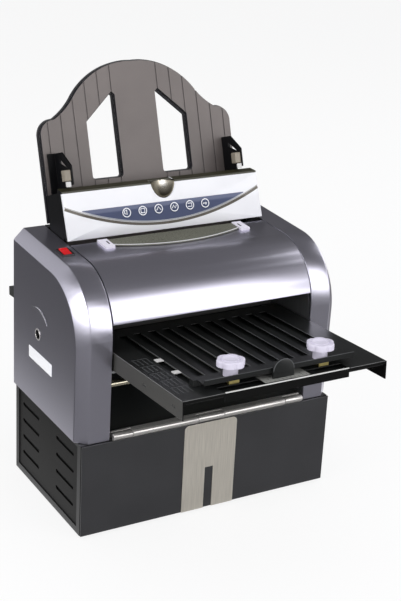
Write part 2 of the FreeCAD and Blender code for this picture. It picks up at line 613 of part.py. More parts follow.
def build_middle_cover():
    """The curved cover over the rollers, with a deeper cheek and a pivot pin at each end."""
    half = size("innerHalf") - size("lidGap")
    wall = size("lidWall")
    band = prism(lid_section(-half, wall), V(2 * half, 0, 0))
    pivot = V(0, size("lidPivotY"), size("lidPivotZ"))
    for sign in (-1, 1):
        cheek = prism(lid_section(sign * half, size("lidCheek")), V(-sign * wall, 0, 0))
        boss = Part.makeCylinder(size("lidPinRadius") + wall, wall, V(sign * half, pivot.y, pivot.z),
                                 V(-sign, 0, 0))
        pin = Part.makeCylinder(size("lidPinRadius"), size("frameOuter") - half,
                                V(sign * half, pivot.y, pivot.z), V(sign, 0, 0))
        band = band.fuse([cheek, boss, pin])
    node(shaped("lid", band.removeSplitter()), "middle_cover")


def lid_place():
    """The label flap's own axes: on the cover's top at its rear edge, level with its slope."""
    return FreeCAD.Placement(V(0, size("baseFront") + size("lidRearEdge"), size("lidTop")),
                             FreeCAD.Rotation(V(1, 0, 0), size("topSlope")))


def build_label_flap():
    """A thin smoked flap that lies on the middle cover and lifts about its straight rear edge."""
    half, deep, end = size("flapHalf"), size("flapDeep"), size("flapEndDeep")
    lift, thick = size("flapLift"), size("flapThick")
    rear = -size("flapRear")
    edges = [arc(V(-half, -end, lift), V(0, -deep, lift), V(half, -end, lift)),
             line(V(half, -end, lift), V(half, rear, lift)),
             line(V(half, rear, lift), V(-half, rear, lift)),
             line(V(-half, rear, lift), V(-half, -end, lift))]
    flap = prism(edges, V(0, 0, thick))
    for sign in (-1, 1):
        pin = Part.makeCylinder(size("clipPinRadius"), size("clipGap") + size("clipPinDeep"),
                                V(sign * half, rear - thick / 2, lift + thick / 2), V(sign, 0, 0))
        flap = flap.fuse(pin)
    node(shaped("flap", flap, lid_place()), "label_flap")


def build_flap_clips():
    """Two clips at the flap's ends that take its pins, each with a foot on the middle cover."""
    clips = []
    near = size("flapHalf") + size("clipGap")
    thick, fit = size("flapThick"), size("fitGap")
    for sign in (-1, 1):
        wide = size("clipWide")
        low = V(near if sign > 0 else -near - wide, -size("clipLong"), 0)
        foot = Part.makeBox(wide, size("clipLong") - size("clipRear"), size("clipTall"), low)
        bore = Part.makeCylinder(size("clipPinRadius") + fit, size("clipPinDeep") + 2 * fit,
                                 V(sign * (near - fit), -size("flapRear") - thick / 2,
                                   size("flapLift") + thick / 2), V(sign, 0, 0))
        clips.append(foot.cut(bore))
    node(shaped("clips", Part.makeCompound(clips), lid_place()), "flap_clips")


# ---------------------------------------------------------------- the paper hopper


def panel_place():
    """The hopper front's own axes: x across, y inwards, z up its slope."""
    return FreeCAD.Placement(V(0, size("baseFront") + size("panelBack"), size("panelHeight")),
                             FreeCAD.Rotation(V(1, 0, 0), -size("panelTilt")))


def key_places():
    """How far across each of the six keys is."""
    return [(i - 2.5) * size("keyPitch") for i in range(6)]


def scoop_prism(inset, start, end):
    """A half ellipse hanging from the hopper front's top edge, from one depth to another."""
    top = size("panelSlant") + size("scoopRise")
    tall = V(0, start, size("panelSlant") - size("scoopTall") + inset)
    wide = V(size("scoopHalf") - inset, start, top)
    return prism([Part.Ellipse(tall, wide, V(0, start, top)).toShape()], V(0, end - start, 0))


def build_hopper_panel():
    """The white front skin of the hopper, with its thumb notch and key holes."""
    half, skin = size("panelHalf"), size("panelSkin")
    tall = size("panelSlant") - size("capWall")
    solid = Part.makeBox(2 * half, skin, tall, V(-half, 0, 0))
    solid = solid.cut(scoop_prism(0, -1, skin + 1))
    for across in key_places():
        solid = solid.cut(key_hole(across, -1, skin + 1))
    node(shaped("panel_skin", solid, panel_place()), "hopper_panel")


def key_hole(across, start, end):
    """The round hole of one key, from one depth to another."""
    radius = size("keyRadius") + size("keyGap")
    return Part.makeCylinder(radius, end - start, V(across, start, size("keyHeight")), V(0, 1, 0))


def build_hopper_core():
    """The dark wall behind the skin, with a level top strip that covers the skin's edge."""
    tilt = math.radians(size("panelTilt"))
    half, skin, thick = size("panelHalf"), size("panelSkin"), size("panelThick")
    top, cap = size("panelSlant"), size("capWall")
    rise = thick * math.tan(tilt)
    points = [V(-half, skin, rise * skin / thick), V(-half, thick, rise), V(-half, thick, top + rise),
              V(-half, 0, top),
              V(-half, 0, top - cap), V(-half, skin, top - cap)]
    solid = prism(outline_edges(points), V(2 * half, 0, 0))
    solid = solid.cut(scoop_prism(0, -1, size("scoopDeep")))
    for across in key_places():
        solid = solid.cut(key_hole(across, skin - 1, skin + size("keyPocket")))
    node(shaped("panel_core", solid, panel_place()), "hopper_core")


def build_thumb_scoop():
    """The bright dished insert in the thumb notch."""
    deep, wall, fit = size("scoopDeep"), size("scoopWall"), size("fitGap")
    tilt = math.radians(size("panelTilt"))
    top = size("panelSlant")
    whole = scoop_prism(fit, 0, deep).cut(scoop_prism(fit + wall, -1, deep - wall))
    room = Part.makeBox(4 * size("scoopHalf"), 4 * deep, 4 * deep, V(-2 * size("scoopHalf"), -deep, 0))
    room.Placement = FreeCAD.Placement(V(0, 0, top), FreeCAD.Rotation(V(1, 0, 0), math.degrees(tilt)))
    node(shaped("scoop", whole.cut(room), panel_place()), "thumb_scoop")


def build_overlay():
    """The thin blue control label on the skin: straight top, arched lower edge, six key holes."""
    half, proud = size("overlayHalf"), size("overlayProud")
    top, low, end = size("overlayTop"), size("overlayLow"), size("overlayEnd")
    edges = [arc(V(-half, 0, top - end), V(0, 0, low), V(half, 0, top - end)),
             line(V(half, 0, top - end), V(half, 0, top)), line(V(half, 0, top), V(-half, 0, top)),
             line(V(-half, 0, top), V(-half, 0, top - end))]
    sheet_shape = prism(edges, V(0, -proud, 0))
    for across in key_places():
        sheet_shape = sheet_shape.cut(key_hole(across, -proud - 1, 1))
    node(shaped("overlay", sheet_shape, panel_place()), "control_overlay")


def build_keys():
    """Six round push keys in a row."""
    for i in range(6):
        key = rod(f"key_cap_{i + 1}", "keyRadius",
                  (f"{i - 2.5} * keyPitch", f"baseFront + panelBack + {key_seat('cos', 'sin')}",
                   f"panelHeight + {key_seat('-sin', 'cos')}"),
                  "keyProud + panelSkin + keyStem", "y")
        bind(key, "Placement.Rotation.Angle", "-90 - panelTilt")
        node(key, f"key_{i + 1}")


def key_seat(ahead, along):
    """One coordinate of a key's outer face on the slope, as a formula."""
    sign = "" if ahead == "cos" else "-"
    return f"(-keyProud) * {sign}{ahead.strip('-')}(panelTilt) + keyHeight * {along}(panelTilt)"


def build_hopper_sides():
    """Two side walls of the hopper, from its front wall back to the tray."""
    thick, wall = size("panelThick"), size("hopperWall")
    front, back = panel_place(), tray_place()
    points = [front.multVec(V(0, thick, 0)), front.multVec(V(0, thick, size("panelSlant"))),
              back.multVec(V(0, 0, size("hopperTop"))), back.multVec(V(0, 0, -size("hopperLow")))]
    walls = []
    for sign in (-1, 1):
        start = V(sign * size("innerHalf"), 0, 0)
        walls.append(prism(outline_edges([start + p for p in points]), V(-sign * wall, 0, 0)))
    node(shaped("hopper_side_set", Part.makeCompound(walls)), "hopper_sides")


# ---------------------------------------------------------------- the paper tray


def tray_place():
    """The tray's own axes: x across, y backwards through the sheet, z up its slope."""
    return FreeCAD.Placement(V(0, size("baseFront") + size("trayBack"), size("trayHeight")),
                             FreeCAD.Rotation(V(1, 0, 0), -size("trayTilt")))


def tray_outline():
    """The tray's front outline: straight sides, rounded shoulders, and one broad arch."""
    half, low = size("trayHalf"), -size("trayBelow")
    corner, neck, arch = size("trayCorner"), size("trayNeck"), size("trayArch")
    neck_half, arch_half, top = size("trayNeckHalf"), size("trayArchHalf"), size("trayTop")

    def at(across, up):
        return V(across, 0, up)

    shoulder_mid = at(neck_half + (half - neck_half) * size("shoulderOut"),
                      corner + (neck - corner) * size("shoulderUp"))
    valley_mid = at((neck_half + arch_half) / 2, (neck + arch) / 2 - size("valleySink"))
    arch_mid = at(arch_half * size("archOut"), arch + (top - arch) * size("archUp"))
    edges = [line(at(-half, low), at(half, low)), line(at(half, low), at(half, corner))]
    right = [(at(half, corner), shoulder_mid, at(neck_half, neck)),
             (at(neck_half, neck), valley_mid, at(arch_half, arch)),
             (at(arch_half, arch), arch_mid, at(0, top))]
    edges += [arc(*points) for points in right]
    for start, middle, end in reversed(right):
        edges.append(arc(*[V(-p.x, 0, p.z) for p in (end, middle, start)]))
    edges.append(line(at(-half, corner), at(-half, low)))
    return edges


def tray_window(sign):
    """One of the two tall openings beside the tray's middle rib: square foot, slanting top."""
    near, far, peak_half = [sign * size(name) for name in ("windowNear", "windowFar", "windowPeakHalf")]
    low, side, peak = size("windowLow"), size("windowSide"), size("windowPeak")
    deep = size("trayThick") + 2
    points = [V(near, -1, low), V(far, -1, low), V(far, -1, side), V(peak_half, -1, peak),
              V(near, -1, peak - abs(peak_half - near))]
    solid = prism(outline_edges(points), V(0, deep, 0))
    feet = [e for e in solid.Edges if e.BoundBox.ZMax < low + 1 and e.BoundBox.YLength > deep - 1]
    tops = [e for e in solid.Edges if e.BoundBox.ZMin > low + 1 and e.BoundBox.YLength > deep - 1]
    return solid.makeFillet(size("windowRadius"), feet).makeFillet(size("windowTopRadius"), tops)


def build_tray():
    """The tilted tray that the paper stack leans on."""
    thick = size("trayThick")
    solid = prism(tray_outline(), V(0, thick, 0))
    wide, deep = size("grooveWide"), size("grooveDeep")
    near, far = size("guideSlotNear"), size("guideSlotFar")
    for sign in (-1, 1):
        solid = solid.cut(tray_window(sign))
        start = near if sign > 0 else -far
        solid = solid.cut(Part.makeBox(far - near, thick + 2, size("guideSlotTall"),
                                       V(start, -1, size("guideSlotLow"))))
        for i in range(6):
            across = sign * (size("grooveNear") + i * size("groovePitch")) - wide / 2
            groove = Part.makeBox(wide, deep + 1, size("trayTop"), V(across, -1, size("hopperTop")))
            solid = solid.cut(groove)
    node(shaped("tray", solid, tray_place()), "tray_plate")


def build_side_guides():
    """The two sliding paper guides, each with a foot, a stem through the tray and a nut behind."""
    lift, wall = size("guideLift"), size("guideWall")
    low, neck, nose = -size("guideBelow"), size("guideNeck"), size("guideNose")
    deep, top, shoulder = size("guideDeep"), size("guideTop"), size("guideShoulder")
    near, thick = size("guideNear"), size("trayThick")
    points = [(lift, low), (lift, top), (size("guideTopDeep"), top), (deep, shoulder), (deep, nose),
              (neck, nose - size("guideNotch")), (neck, low)]
    gap, nut_edge = size("guideFrame"), size("guideNut")
    window = [(size("guideTopDeep") - gap, top - gap), (deep - gap, shoulder - gap / 2),
              (size("guideTopDeep") - gap, top - gap - size("guideSliver"))]
    for sign, side in ((-1, "left"), (1, "right")):
        start = sign * near
        blade = prism(outline_edges([V(start, -n, t) for n, t in points]), V(sign * wall, 0, 0))
        hole = prism(outline_edges([V(start, -n, t) for n, t in window]), V(sign * wall, 0, 0))
        foot = guide_block(sign, near, near + wall + size("guideFoot"), -lift - wall, -lift, low, top)
        slot_low, slot_tall = size("guideSlotLow"), size("guideSlotTall")
        stem = guide_block(sign, near, near + wall + size("guideStem"), -lift - wall / 2, thick + lift + wall,
                           slot_low + lift, slot_low + slot_tall - lift)
        nut = guide_block(sign, near - nut_edge, near + wall + 2 * nut_edge, thick + lift,
                          thick + lift + wall, slot_low - nut_edge, slot_low + slot_tall + nut_edge)
        whole = blade.cut(hole).fuse([foot, stem, nut]).removeSplitter()
        node(shaped("guide_" + side, whole, tray_place()), "side_guide_" + side)


def guide_block(sign, near, far, front, rear, low, high):
    """A block on the tray's axes between two distances from the middle."""
    start = near if sign > 0 else -far
    return Part.makeBox(far - near, rear - front, high - low, V(start, front, low))


def build_separator_blocks():
    """A small separator block on the left face of each side guide."""
    near, wide, wall = size("guideNear"), size("blockWide"), size("guideWall")
    deep = size("guideDeep") - 1
    for sign, side, start in ((-1, "left", near + wall), (1, "right", near - wide)):
        block = guide_block(sign, start, start + wide, -deep, -deep + size("blockDeep"), size("blockLow"),
                            size("blockLow") + size("blockTall"))
        node(shaped("separator_" + side, block, tray_place()), "separator_block_" + side)


# ---------------------------------------------------------------- the power switch


def build_switch():
    """The power switch: a rectangular bezel in the left cover, and the rocker that tilts on two pins."""
    rim, deep, fit = size("switchRim"), size("switchDeep"), size("fitGap")
    flange = Part.makeBox(size("switchWide"), size("switchLong"), rim,
                          V(-size("switchWide") / 2, -size("switchLong") / 2, 0))
    flange.Placement = switch_place()
    wide, long, proud = size("rockerWide"), size("rockerLong"), size("rockerProud")
    room_wide, room_long = wide + 2 * size("slideGap"), long + rim
    room = Part.makeBox(room_wide, room_long, deep + rim, V(-room_wide / 2, -room_long / 2, -deep + rim))
    pin_reach = room_wide / 2 + size("rockerPinDeep")
    pivot = V(-pin_reach, 0, -rim / 2)
    holes = Part.makeCylinder(size("rockerPin") + fit, 2 * (pin_reach + fit), pivot - V(fit, 0, 0),
                              V(1, 0, 0))
    for tool in (room, holes):
        tool.Placement = switch_place()
    bezel = flange.fuse(switch_box(2 * fit)).removeSplitter().cut([room, holes])
    node(shaped("bezel", bezel), "switch_bezel")
    points = [V(-wide / 2, -long / 2, -rim / 2), V(-wide / 2, -long / 2, rim * 0.75), V(-wide / 2, 0, rim),
              V(-wide / 2, long / 2, rim + proud), V(-wide / 2, long / 2, -rim / 2),
              V(-wide / 2, 0, -deep / 2)]
    rocker = prism(outline_edges(points), V(wide, 0, 0))
    pins = Part.makeCylinder(size("rockerPin"), 2 * pin_reach, pivot, V(1, 0, 0))
    node(shaped("rocker", rocker.fuse(pins), switch_place()), "switch_rocker")


# ---------------------------------------------------------------- the fold plates


def on_front_plate(item):
    """Seats a piece on the front fold plate's axes: y runs back and down its slope."""
    return seat(item, ("0", "frontEdge", "plateHeight"), "-plateSlope")


def on_rear_plate(item):
    """Seats a piece on the rear fold plate's axes."""
    return seat(item, ("0", "rearStart", "rearHeight"), "-plateSlope")


def plate_slots(name, front, knob_front, end, count):
    """Long slots side by side in a fold plate; every third one takes a stop bar's screw."""
    slots = []
    for i in range(-count, count + 1):
        start = knob_front if abs(i) % 3 == 0 and i else front
        slots.append(box(f"{name}_slot_{i + count}", (f"{i} * slotPitch - slotWide / 2", start,
                                                      "-plateWall - 1"),
                         ("slotWide", f"{end} - ({start})", "plateWall + 2")))
    return slots


def build_front_plate():
    """The front fold plate: a slotted upper sheet with deep flanges, and a plain lower sheet."""
    skin = box("front_skin", ("-plateHalf", "0", "-plateWall"), ("2 * plateHalf", "plateLength", "plateWall"))
    sides = [beside(f"front_flange_{i}", sign, "plateHalf - plateWall", "plateHalf",
                    ("0", "-plateFlange"), ("plateLength", "plateFlange"))
             for i, sign in enumerate((-1, 1))]
    lips = [beside(f"front_lip_{i}", sign, "mouthHalf", "plateHalf", ("0", "-plateLip"),
                   ("plateWall", "plateLip")) for i, sign in enumerate((-1, 1))]
    mouth = box("front_mouth", ("-mouthHalf", "-1", "-plateWall - 1"),
                ("2 * mouthHalf", "mouthDeep + 1", "plateWall + 2"))
    cuts = plate_slots("front", "slotFront", "knobSlotFront", "plateLength - slotEnd", 5)
    upper = without("front_upper_shape", joined("front_upper_block", [skin] + sides + lips),
                    cuts + [mouth])
    node(on_front_plate(upper), "front_plate_upper")

    depth = "(2 * plateWall + sheetGap)"
    half = "(plateHalf - plateWall - slideGap)"
    lower = [box("front_floor", (f"-{half}", "plateWall", f"-{depth}"),
                 (f"2 * {half}", "plateLength - plateWall", "plateWall")),
             box("front_tongue", ("-mouthHalf + slideGap", "0", "-mouthLip"),
                 ("2 * (mouthHalf - slideGap)", "plateWall", "mouthLip"))]
    for i, sign in enumerate((-1, 1)):
        lower.append(beside(f"front_rail_{i}", sign, f"{half} - railWide", half,
                            ("plateWall", f"-{depth}"), ("plateLength - plateWall", "plateWall + sheetGap")))
    lower.append(box("front_shelf", ("-mouthHalf + slideGap", "0", f"-{depth}"),
                     ("2 * (mouthHalf - slideGap)", "plateWall + 1", "plateWall")))
    node(on_front_plate(joined("front_lower_shape", lower)), "front_plate_lower")


def stop_section(name, half, back):
    """A stop bar's sheet with its front upstand and rear web, before it is seated."""
    front = f"{back} - stopAhead"
    level = "stopLift + nutTall + slideGap"
    top = box(name + "_sheet", (f"-{half}", front, level), (f"2 * {half}", "stopDeep", "stopWall"))
    upstand = box(name + "_upstand", (f"-{half}", front, level),
                  (f"2 * {half}", "stopWall", "stopWall + stopUpstand"))
    web = box(name + "_web", (f"-{half}", front + " + stopDeep - stopWeb", "stopLift"),
              (f"2 * {half}", "stopWeb", "nutTall + slideGap + stopWall"))
    return [top, upstand, web]


def build_front_stop():
    """The front stop bar with its thumb tab and pointer, and the two brass nuts under it."""
    parts = stop_section("front_stop", "stopHalf", "stopBack")
    front = "stopBack - stopAhead"
    tab_back = front + " - tabAhead"
    level = "stopLift + nutTall + slideGap"
    parts.append(rod("tab_round", "tabHalf", ("0", tab_back, "tabTall - tabHalf"), "tabThick", "y"))
    parts.append(box("tab_upright", ("-tabHalf", tab_back, "stopLift"),
                     ("2 * tabHalf", "tabThick", "tabTall - tabHalf - stopLift")))
    parts.append(box("tab_tongue", ("-tabHalf", tab_back, level),
                     ("2 * tabHalf", "tabAhead + 1", "stopWall")))
    parts.append(box("stop_pointer", ("-stopHalf - pointerLong", front + " + stopDeep - pointerDeep",
                                      "stopLift"),
                     ("2 * pointerLong", "pointerDeep", "nutTall + slideGap + stopWall")))
    cuts = [box("tab_trim", ("-tabHalf - 1", tab_back + " - 1", "-2 * tabHalf"),
                ("2 * tabHalf + 2", "tabThick + 2", "2 * tabHalf + stopLift"))]
    nuts = []
    for i, sign in enumerate(("-", "")):
        across = f"{sign}knobAcross"
        cuts.append(rod(f"stop_hole_{i}", "screwRadius + fitGap", (across, "stopBack", "0"), "knobTop", "z"))
        nut = box(f"nut_{i}", (f"{across} - nutHalf", front + " + nutSetback", "stopLift"),
                  ("2 * nutHalf", "nutLong", "nutTall"))
        bore = rod(f"nut_bore_{i}", "screwRadius + fitGap", (across, "stopBack", "0"), "knobTop", "z")
        nuts.append(without(f"nut_whole_{i}", nut, [bore]))
    solid = joined("front_stop_whole", parts)
    node(on_front_plate(without("front_stop_shape", solid, cuts)), "front_stop_bar")
    node(on_front_plate(group("front_nuts", nuts)), "front_clamp_nuts")


def knob_shape():
    """A clamping knob on the plate's normal: a lobed head, a shank and a long screw."""
    head_low, top = size("knobTop") - size("knobHead"), size("knobTop")
    shank_low = size("stopLift") + size("nutTall") + size("stopWall") + 2 * size("slideGap")
    disc_radius = size("knobRadius") - size("knobLobe")
    lobe_radius = size("knobLobe") + size("knobLobeGrow")
    head = Part.makeCylinder(disc_radius, top - head_low, V(0, 0, head_low))
    for i in range(6):
        angle = math.radians(60 * i)
        out = size("knobRadius") - lobe_radius
        centre = V(math.cos(angle) * out, math.sin(angle) * out, head_low)
        head = head.fuse(Part.makeCylinder(lobe_radius, top - head_low, centre))
    head = head.removeSplitter()
    shank = Part.makeCylinder(size("knobShank"), head_low - shank_low, V(0, 0, shank_low))
    screw = Part.makeCylinder(size("screwRadius"), shank_low + size("plateWall"),
                              V(0, 0, -size("plateWall")))
    return head.fuse([shank, screw]).removeSplitter()


def slope_point(start_y, start_z, across, back):
    """A placement on a fold plate's slope, from the plate's upper inner or outer edge."""
    tilt = math.radians(size("plateSlope"))
    return FreeCAD.Placement(V(across, start_y + back * math.cos(tilt), start_z - back * math.sin(tilt)),
                             FreeCAD.Rotation(V(1, 0, 0), -size("plateSlope")))


def build_knobs():
    """Two knobs on the front stop bar and one on the rear."""
    for sign, side in ((-1, "left"), (1, "right")):
        place = slope_point(size("frontEdge"), size("plateHeight"), sign * size("knobAcross"),
                            size("stopBack"))
        node(shaped("front_knob_shape_" + side, knob_shape(), place), "front_knob_" + side)
    place = slope_point(size("rearStart"), size("rearHeight"), 0, size("rearStopBack"))
    node(shaped("rear_knob_shape", knob_shape(), place), "rear_knob")


def build_rear_plate():
    """The rear fold plate: one slotted sheet with side flanges, its outer corners cut back."""
    skin = box("rear_skin", ("-plateHalf", "0", "-plateWall"), ("2 * plateHalf", "rearLength", "plateWall"))
    sides = [beside(f"rear_flange_{i}", sign, "plateHalf - plateWall", "plateHalf", ("0", "-rearFlange"),
                    ("rearLength", "rearFlange")) for i, sign in enumerate((-1, 1))]
    floor = box("rear_floor", ("-plateHalf + plateWall", "0", "-2 * plateWall - sheetGap"),
                ("2 * (plateHalf - plateWall)", "rearLength", "plateWall"))
    end = box("rear_end", ("-plateHalf", "rearLength - plateWall", "-rearFlange"),
              ("2 * plateHalf", "plateWall", "rearFlange - rearChamfer"))
    corner = profile("rear_corner", "YZ_Plane",
                     [("rearLength - rearChamferLong", "0"), ("rearLength + 1", "-rearChamfer"),
                      ("rearLength + 1", "1"), ("rearLength - rearChamferLong", "1")],
                     "2 * plateHalf + 2", "-plateHalf - 1")
    slots = []
    for i in range(-4, 5):
        slots.append(box(f"rear_slot_{i + 4}",
                         (f"{i} * slotPitch - slotWide / 2", "slotEnd", "-plateWall - 1"),
                         ("slotWide", "rearLength - 2 * slotEnd", "plateWall + 2")))
    solid = joined("rear_block", [skin] + sides + [floor, end])
    node(on_rear_plate(without("rear_plate_shape", solid, slots + [corner])), "rear_plate")


def build_rear_stop():
    """The rear stop bar: the same section with one screw hole in its middle."""
    parts = stop_section("rear_stop", "rearStopHalf", "rearStopBack")
    hole = rod("rear_stop_hole", "screwRadius + fitGap", ("0", "rearStopBack", "0"), "knobTop", "z")
    node(on_rear_plate(without("rear_stop_shape", joined("rear_stop_whole", parts), [hole])),
         "rear_stop_bar")


# ---------------------------------------------------------------- rollers, gears and drive


def gear_solid(teeth, near, turn, bore):
    """A spur gear about the x axis from one distance across, outwards to the left."""
    module, wide = size("gearModule"), size("gearWide")
    pitch = teeth * module / 2
    step = 2 * math.pi / teeth
    root, tip = pitch - size("toothBelow") * module, pitch + size("toothAbove") * module
    foot, crest = size("toothFoot"), size("toothCrest")
    points = []
    for i in range(teeth):
        middle = turn + i * step
        for share, radius in ((-foot, root), (-crest, tip), (crest, tip), (foot, root)):
            angle = middle + share * step
            points.append(V(-near, radius * math.cos(angle), radius * math.sin(angle)))
    solid = prism(outline_edges(points), V(-wide, 0, 0))
    return solid.cut(Part.makeCylinder(bore, wide + 2, V(-near + 1, 0, 0), V(-1, 0, 0)))


def meshed(turn, teeth, place, next_teeth, next_place):
    """The turn at which a gear meshes with its neighbour, from the neighbour's own turn."""
    lean = math.atan2(next_place.z - place.z, next_place.y - place.y)
    passed = (lean - turn) * teeth / (2 * math.pi)
    return lean + math.pi - 2 * math.pi / next_teeth * (0.5 - passed)


def shaft_rod(radius, start, end, centre):
    """A round bar along the x axis between two distances across."""
    return Part.makeCylinder(radius, end - start, V(start, centre.y, centre.z), V(1, 0, 0))


def geared(name, label, core, gear, centre):
    """A roller and its gear as two solids in one node."""
    gear.translate(V(0, centre.y, centre.z))
    node(shaped(name, Part.makeCompound([core, gear])), label)


def build_rollers_and_gears():
    """Four fold rollers and the feed roller, driven through one train of gears."""
    bore = size("shaftRadius")
    teeth, near = int(size("gearTeeth")), size("gearNear")
    end = size("frameOuter") + size("gearInset") + size("gearWide")
    second = V(0, size("rollerY"), size("rollerHeight"))
    first = V(0, size("outerRollerY"), size("topRollerZ"))
    third = V(0, size("outerRollerY"), size("lowRollerZ"))
    fourth = V(0, size("fourthY"), size("fourthHeight"))
    feed = V(0, size("feedY"), size("feedHeight"))
    idler = V(0, size("idlerY"), size("idlerZ"))
    jack = V(0, size("jackY"), size("jackZ"))
    motor = V(0, size("motorY"), size("motorZ"))
    turn_first = meshed(0, teeth, second, teeth, first)
    turn_third = meshed(0, teeth, second, teeth, third)
    turn_fourth = meshed(turn_third, teeth, third, teeth, fourth)
    idler_teeth, jack_teeth = int(size("idlerTeeth")), int(size("jackTeeth"))
    small, motor_teeth = int(size("jackPinion")), int(size("motorTeeth"))
    turn_idler = meshed(turn_first, teeth, first, idler_teeth, idler)
    turn_feed = meshed(turn_idler, idler_teeth, idler, teeth, feed)
    turn_jack = meshed(turn_fourth, teeth, fourth, small, jack)
    turn_motor = meshed(turn_jack, jack_teeth, jack, motor_teeth, motor)

    half, right = size("rollerHalf"), size("frameOuter") + size("shaftOut")
    for i, (centre, turn) in enumerate(((first, turn_first), (second, 0), (third, turn_third),
                                        (fourth, turn_fourth)), start=1):
        left = size("outerHalf") - size("coverWall") - size("crankDepth") if i == 2 else end
        core = shaft_rod(size("rollerRadius"), -half, half, centre).fuse(
            shaft_rod(bore, -left, right, centre))
        geared(f"roller_{i}", f"fold_roller_{i}", core.removeSplitter(), gear_solid(teeth, near, turn, bore),
               centre)

    core = shaft_rod(bore, -end, right, feed)
    for across in (-size("tyrePitch"), 0, size("tyrePitch")):
        start = across - size("tyreWide") / 2
        core = core.fuse(shaft_rod(size("feedRadius"), start, start + size("tyreWide"), feed))
    geared("feed", "feed_roller", core.removeSplitter(), gear_solid(teeth, near, turn_feed, bore), feed)

    fit = size("fitGap")
    wheel = gear_solid(idler_teeth, near, turn_idler, bore + fit)
    wheel.translate(V(0, idler.y, idler.z))
    node(shaped("idler", wheel), "idler_gear")
    jack_near = size("jackNear")
    large = gear_solid(jack_teeth, jack_near, turn_jack, bore + fit)
    sleeve = Part.makeCylinder(bore + size("sleeveWall"), jack_near - near, V(-near, 0, 0), V(-1, 0, 0)).cut(
        Part.makeCylinder(bore + fit, jack_near, V(0, 0, 0), V(-1, 0, 0)))
    cluster = large.fuse([sleeve, gear_solid(small, near, turn_jack, bore + fit)])
    cluster.translate(V(0, jack.y, jack.z))
    node(shaped("jack", cluster), "jack_gear")
    pinion = gear_solid(motor_teeth, jack_near, turn_motor, bore / 2)
    axle = shaft_rod(bore / 2, -jack_near - size("gearWide"), -size("innerHalf") + size("axleDeep"), V())
    pinion = pinion.fuse(axle)
    pinion.translate(V(0, motor.y, motor.z))
    node(shaped("pinion", pinion.removeSplitter()), "motor_pinion")

    can = shaft_rod(size("motorRadius"), -size("innerHalf"), -size("innerHalf") + size("motorLong"), motor)
    can = can.cut(shaft_rod(bore / 2 + fit, -size("innerHalf") - 1,
                            -size("innerHalf") + size("axleDeep") + 1, motor))
    node(shaped("motor_can", can), "drive_motor")


def build_paper_path():
    """The sheets that guide the paper: a feed floor with its retard pad, and an exit chute."""
    half, wall, gap = size("innerHalf"), size("floorWall"), size("slideGap")
    feed = V(0, size("feedY"), size("feedHeight"))
    tray_foot = V(0, size("baseFront") + size("trayBack"), size("trayHeight"))
    reach, lean = size("floorReach"), math.radians(size("padLean"))
    facet = feed + V(0, math.cos(lean), -math.sin(lean)) * reach
    along = V(0, math.sin(lean), math.cos(lean)) * size("facetHalf")
    tray_low = tray_foot + V(0, -size("floorBehind"), size("floorLift") - size("trayBelow"))
    nip = V(0, size("rollerY") + size("nipBack"), size("topRollerZ") + size("nipRise"))
    top_side = [tray_low, facet + along, facet - along, nip]
    thickness = V(0, wall, -wall)
    under_side = [point + thickness for point in reversed(top_side)]
    points = [V(-half, p.y, p.z) for p in top_side + under_side]
    floor = prism(outline_edges(points), V(2 * half, 0, 0))
    pad_wide, tall = size("tyreWide") - 2 * size("padInset"), size("padTall")
    pad = Part.makeBox(pad_wide, reach - size("feedRadius") - 2 * gap, tall,
                       V(-pad_wide / 2, size("feedRadius") + gap, -tall / 2))
    pad.Placement = FreeCAD.Placement(feed, FreeCAD.Rotation(V(1, 0, 0), -size("padLean")))
    node(shaped("floor", Part.makeCompound([floor, pad])), "feed_floor")

    chute_top = V(-half, size("outerRollerY") - size("chuteAhead"), size("fourthHeight") - size("chuteDrop"))
    chute_low = V(-half, size("coverFront") + size("chuteFront"), size("baseTop") + size("chuteRise"))
    down = V(0, 0, -wall)
    chute = prism(outline_edges([chute_top, chute_low, chute_low + down / 2, chute_top + down]),
                  V(2 * half, 0, 0))
    node(shaped("chute", chute), "exit_chute")


def build_rear_covers():
    """The two rear covers, above and below the rear fold plate, and the screws that hold them."""
    plate_top = "(rearHeight - (baseBack - rearStart) * tan(plateSlope))"
    low, width = "-innerHalf + slideGap / 2", ("2 * innerHalf - slideGap",)
    upper = box("rear_upper", (low, "baseBack - coverWall", plate_top + " + rearGap"),
                width + ("coverWall", f"coverTop - {plate_top} - rearGap"))
    lip_start = "(baseFront + trayBack + trayThick / cos(trayTilt) + rearLipGap)"
    lip = box("rear_lip", (low, lip_start, "coverTop - coverWall"),
              width + ("baseBack - " + lip_start, "coverWall"))
    node(joined("rear_upper_shape", [upper, lip]), "rear_cover_upper")
    lower = box("rear_lower", (low, "baseBack - coverWall", "baseTop"),
                width + ("coverWall", f"{plate_top} - rearFlange - rearGap - baseTop"))
    node(lower, "rear_cover_lower")
    screws = []
    levels = ("baseTop + screwLow", "baseTop + screwMiddle", "coverTop - screwUpper", "coverTop - screwTop")
    for i, up in enumerate(levels):
        for j, across in enumerate(("-innerHalf + screwEdge", "innerHalf - screwEdge")):
            screws.append(rod(f"screw_{i}{j}", "screwHead", (across, "baseBack", up), "screwProud", "y"))
    node(group("screws", screws), "cover_screws")


# ---------------------------------------------------------------- the front flap and its hinge


def knuckle_spans():
    """The hinge's five knuckles from left to right, as pairs of distances across."""
    half, end, middle = size("hingeHalf"), size("knuckleEnd"), size("knuckleMiddle") / 2
    gap = size("knuckleGap")
    return [(-half, -half + end), (-half + end + gap, -middle - gap), (-middle, middle),
            (middle + gap, half - end - gap), (half - end, half)]


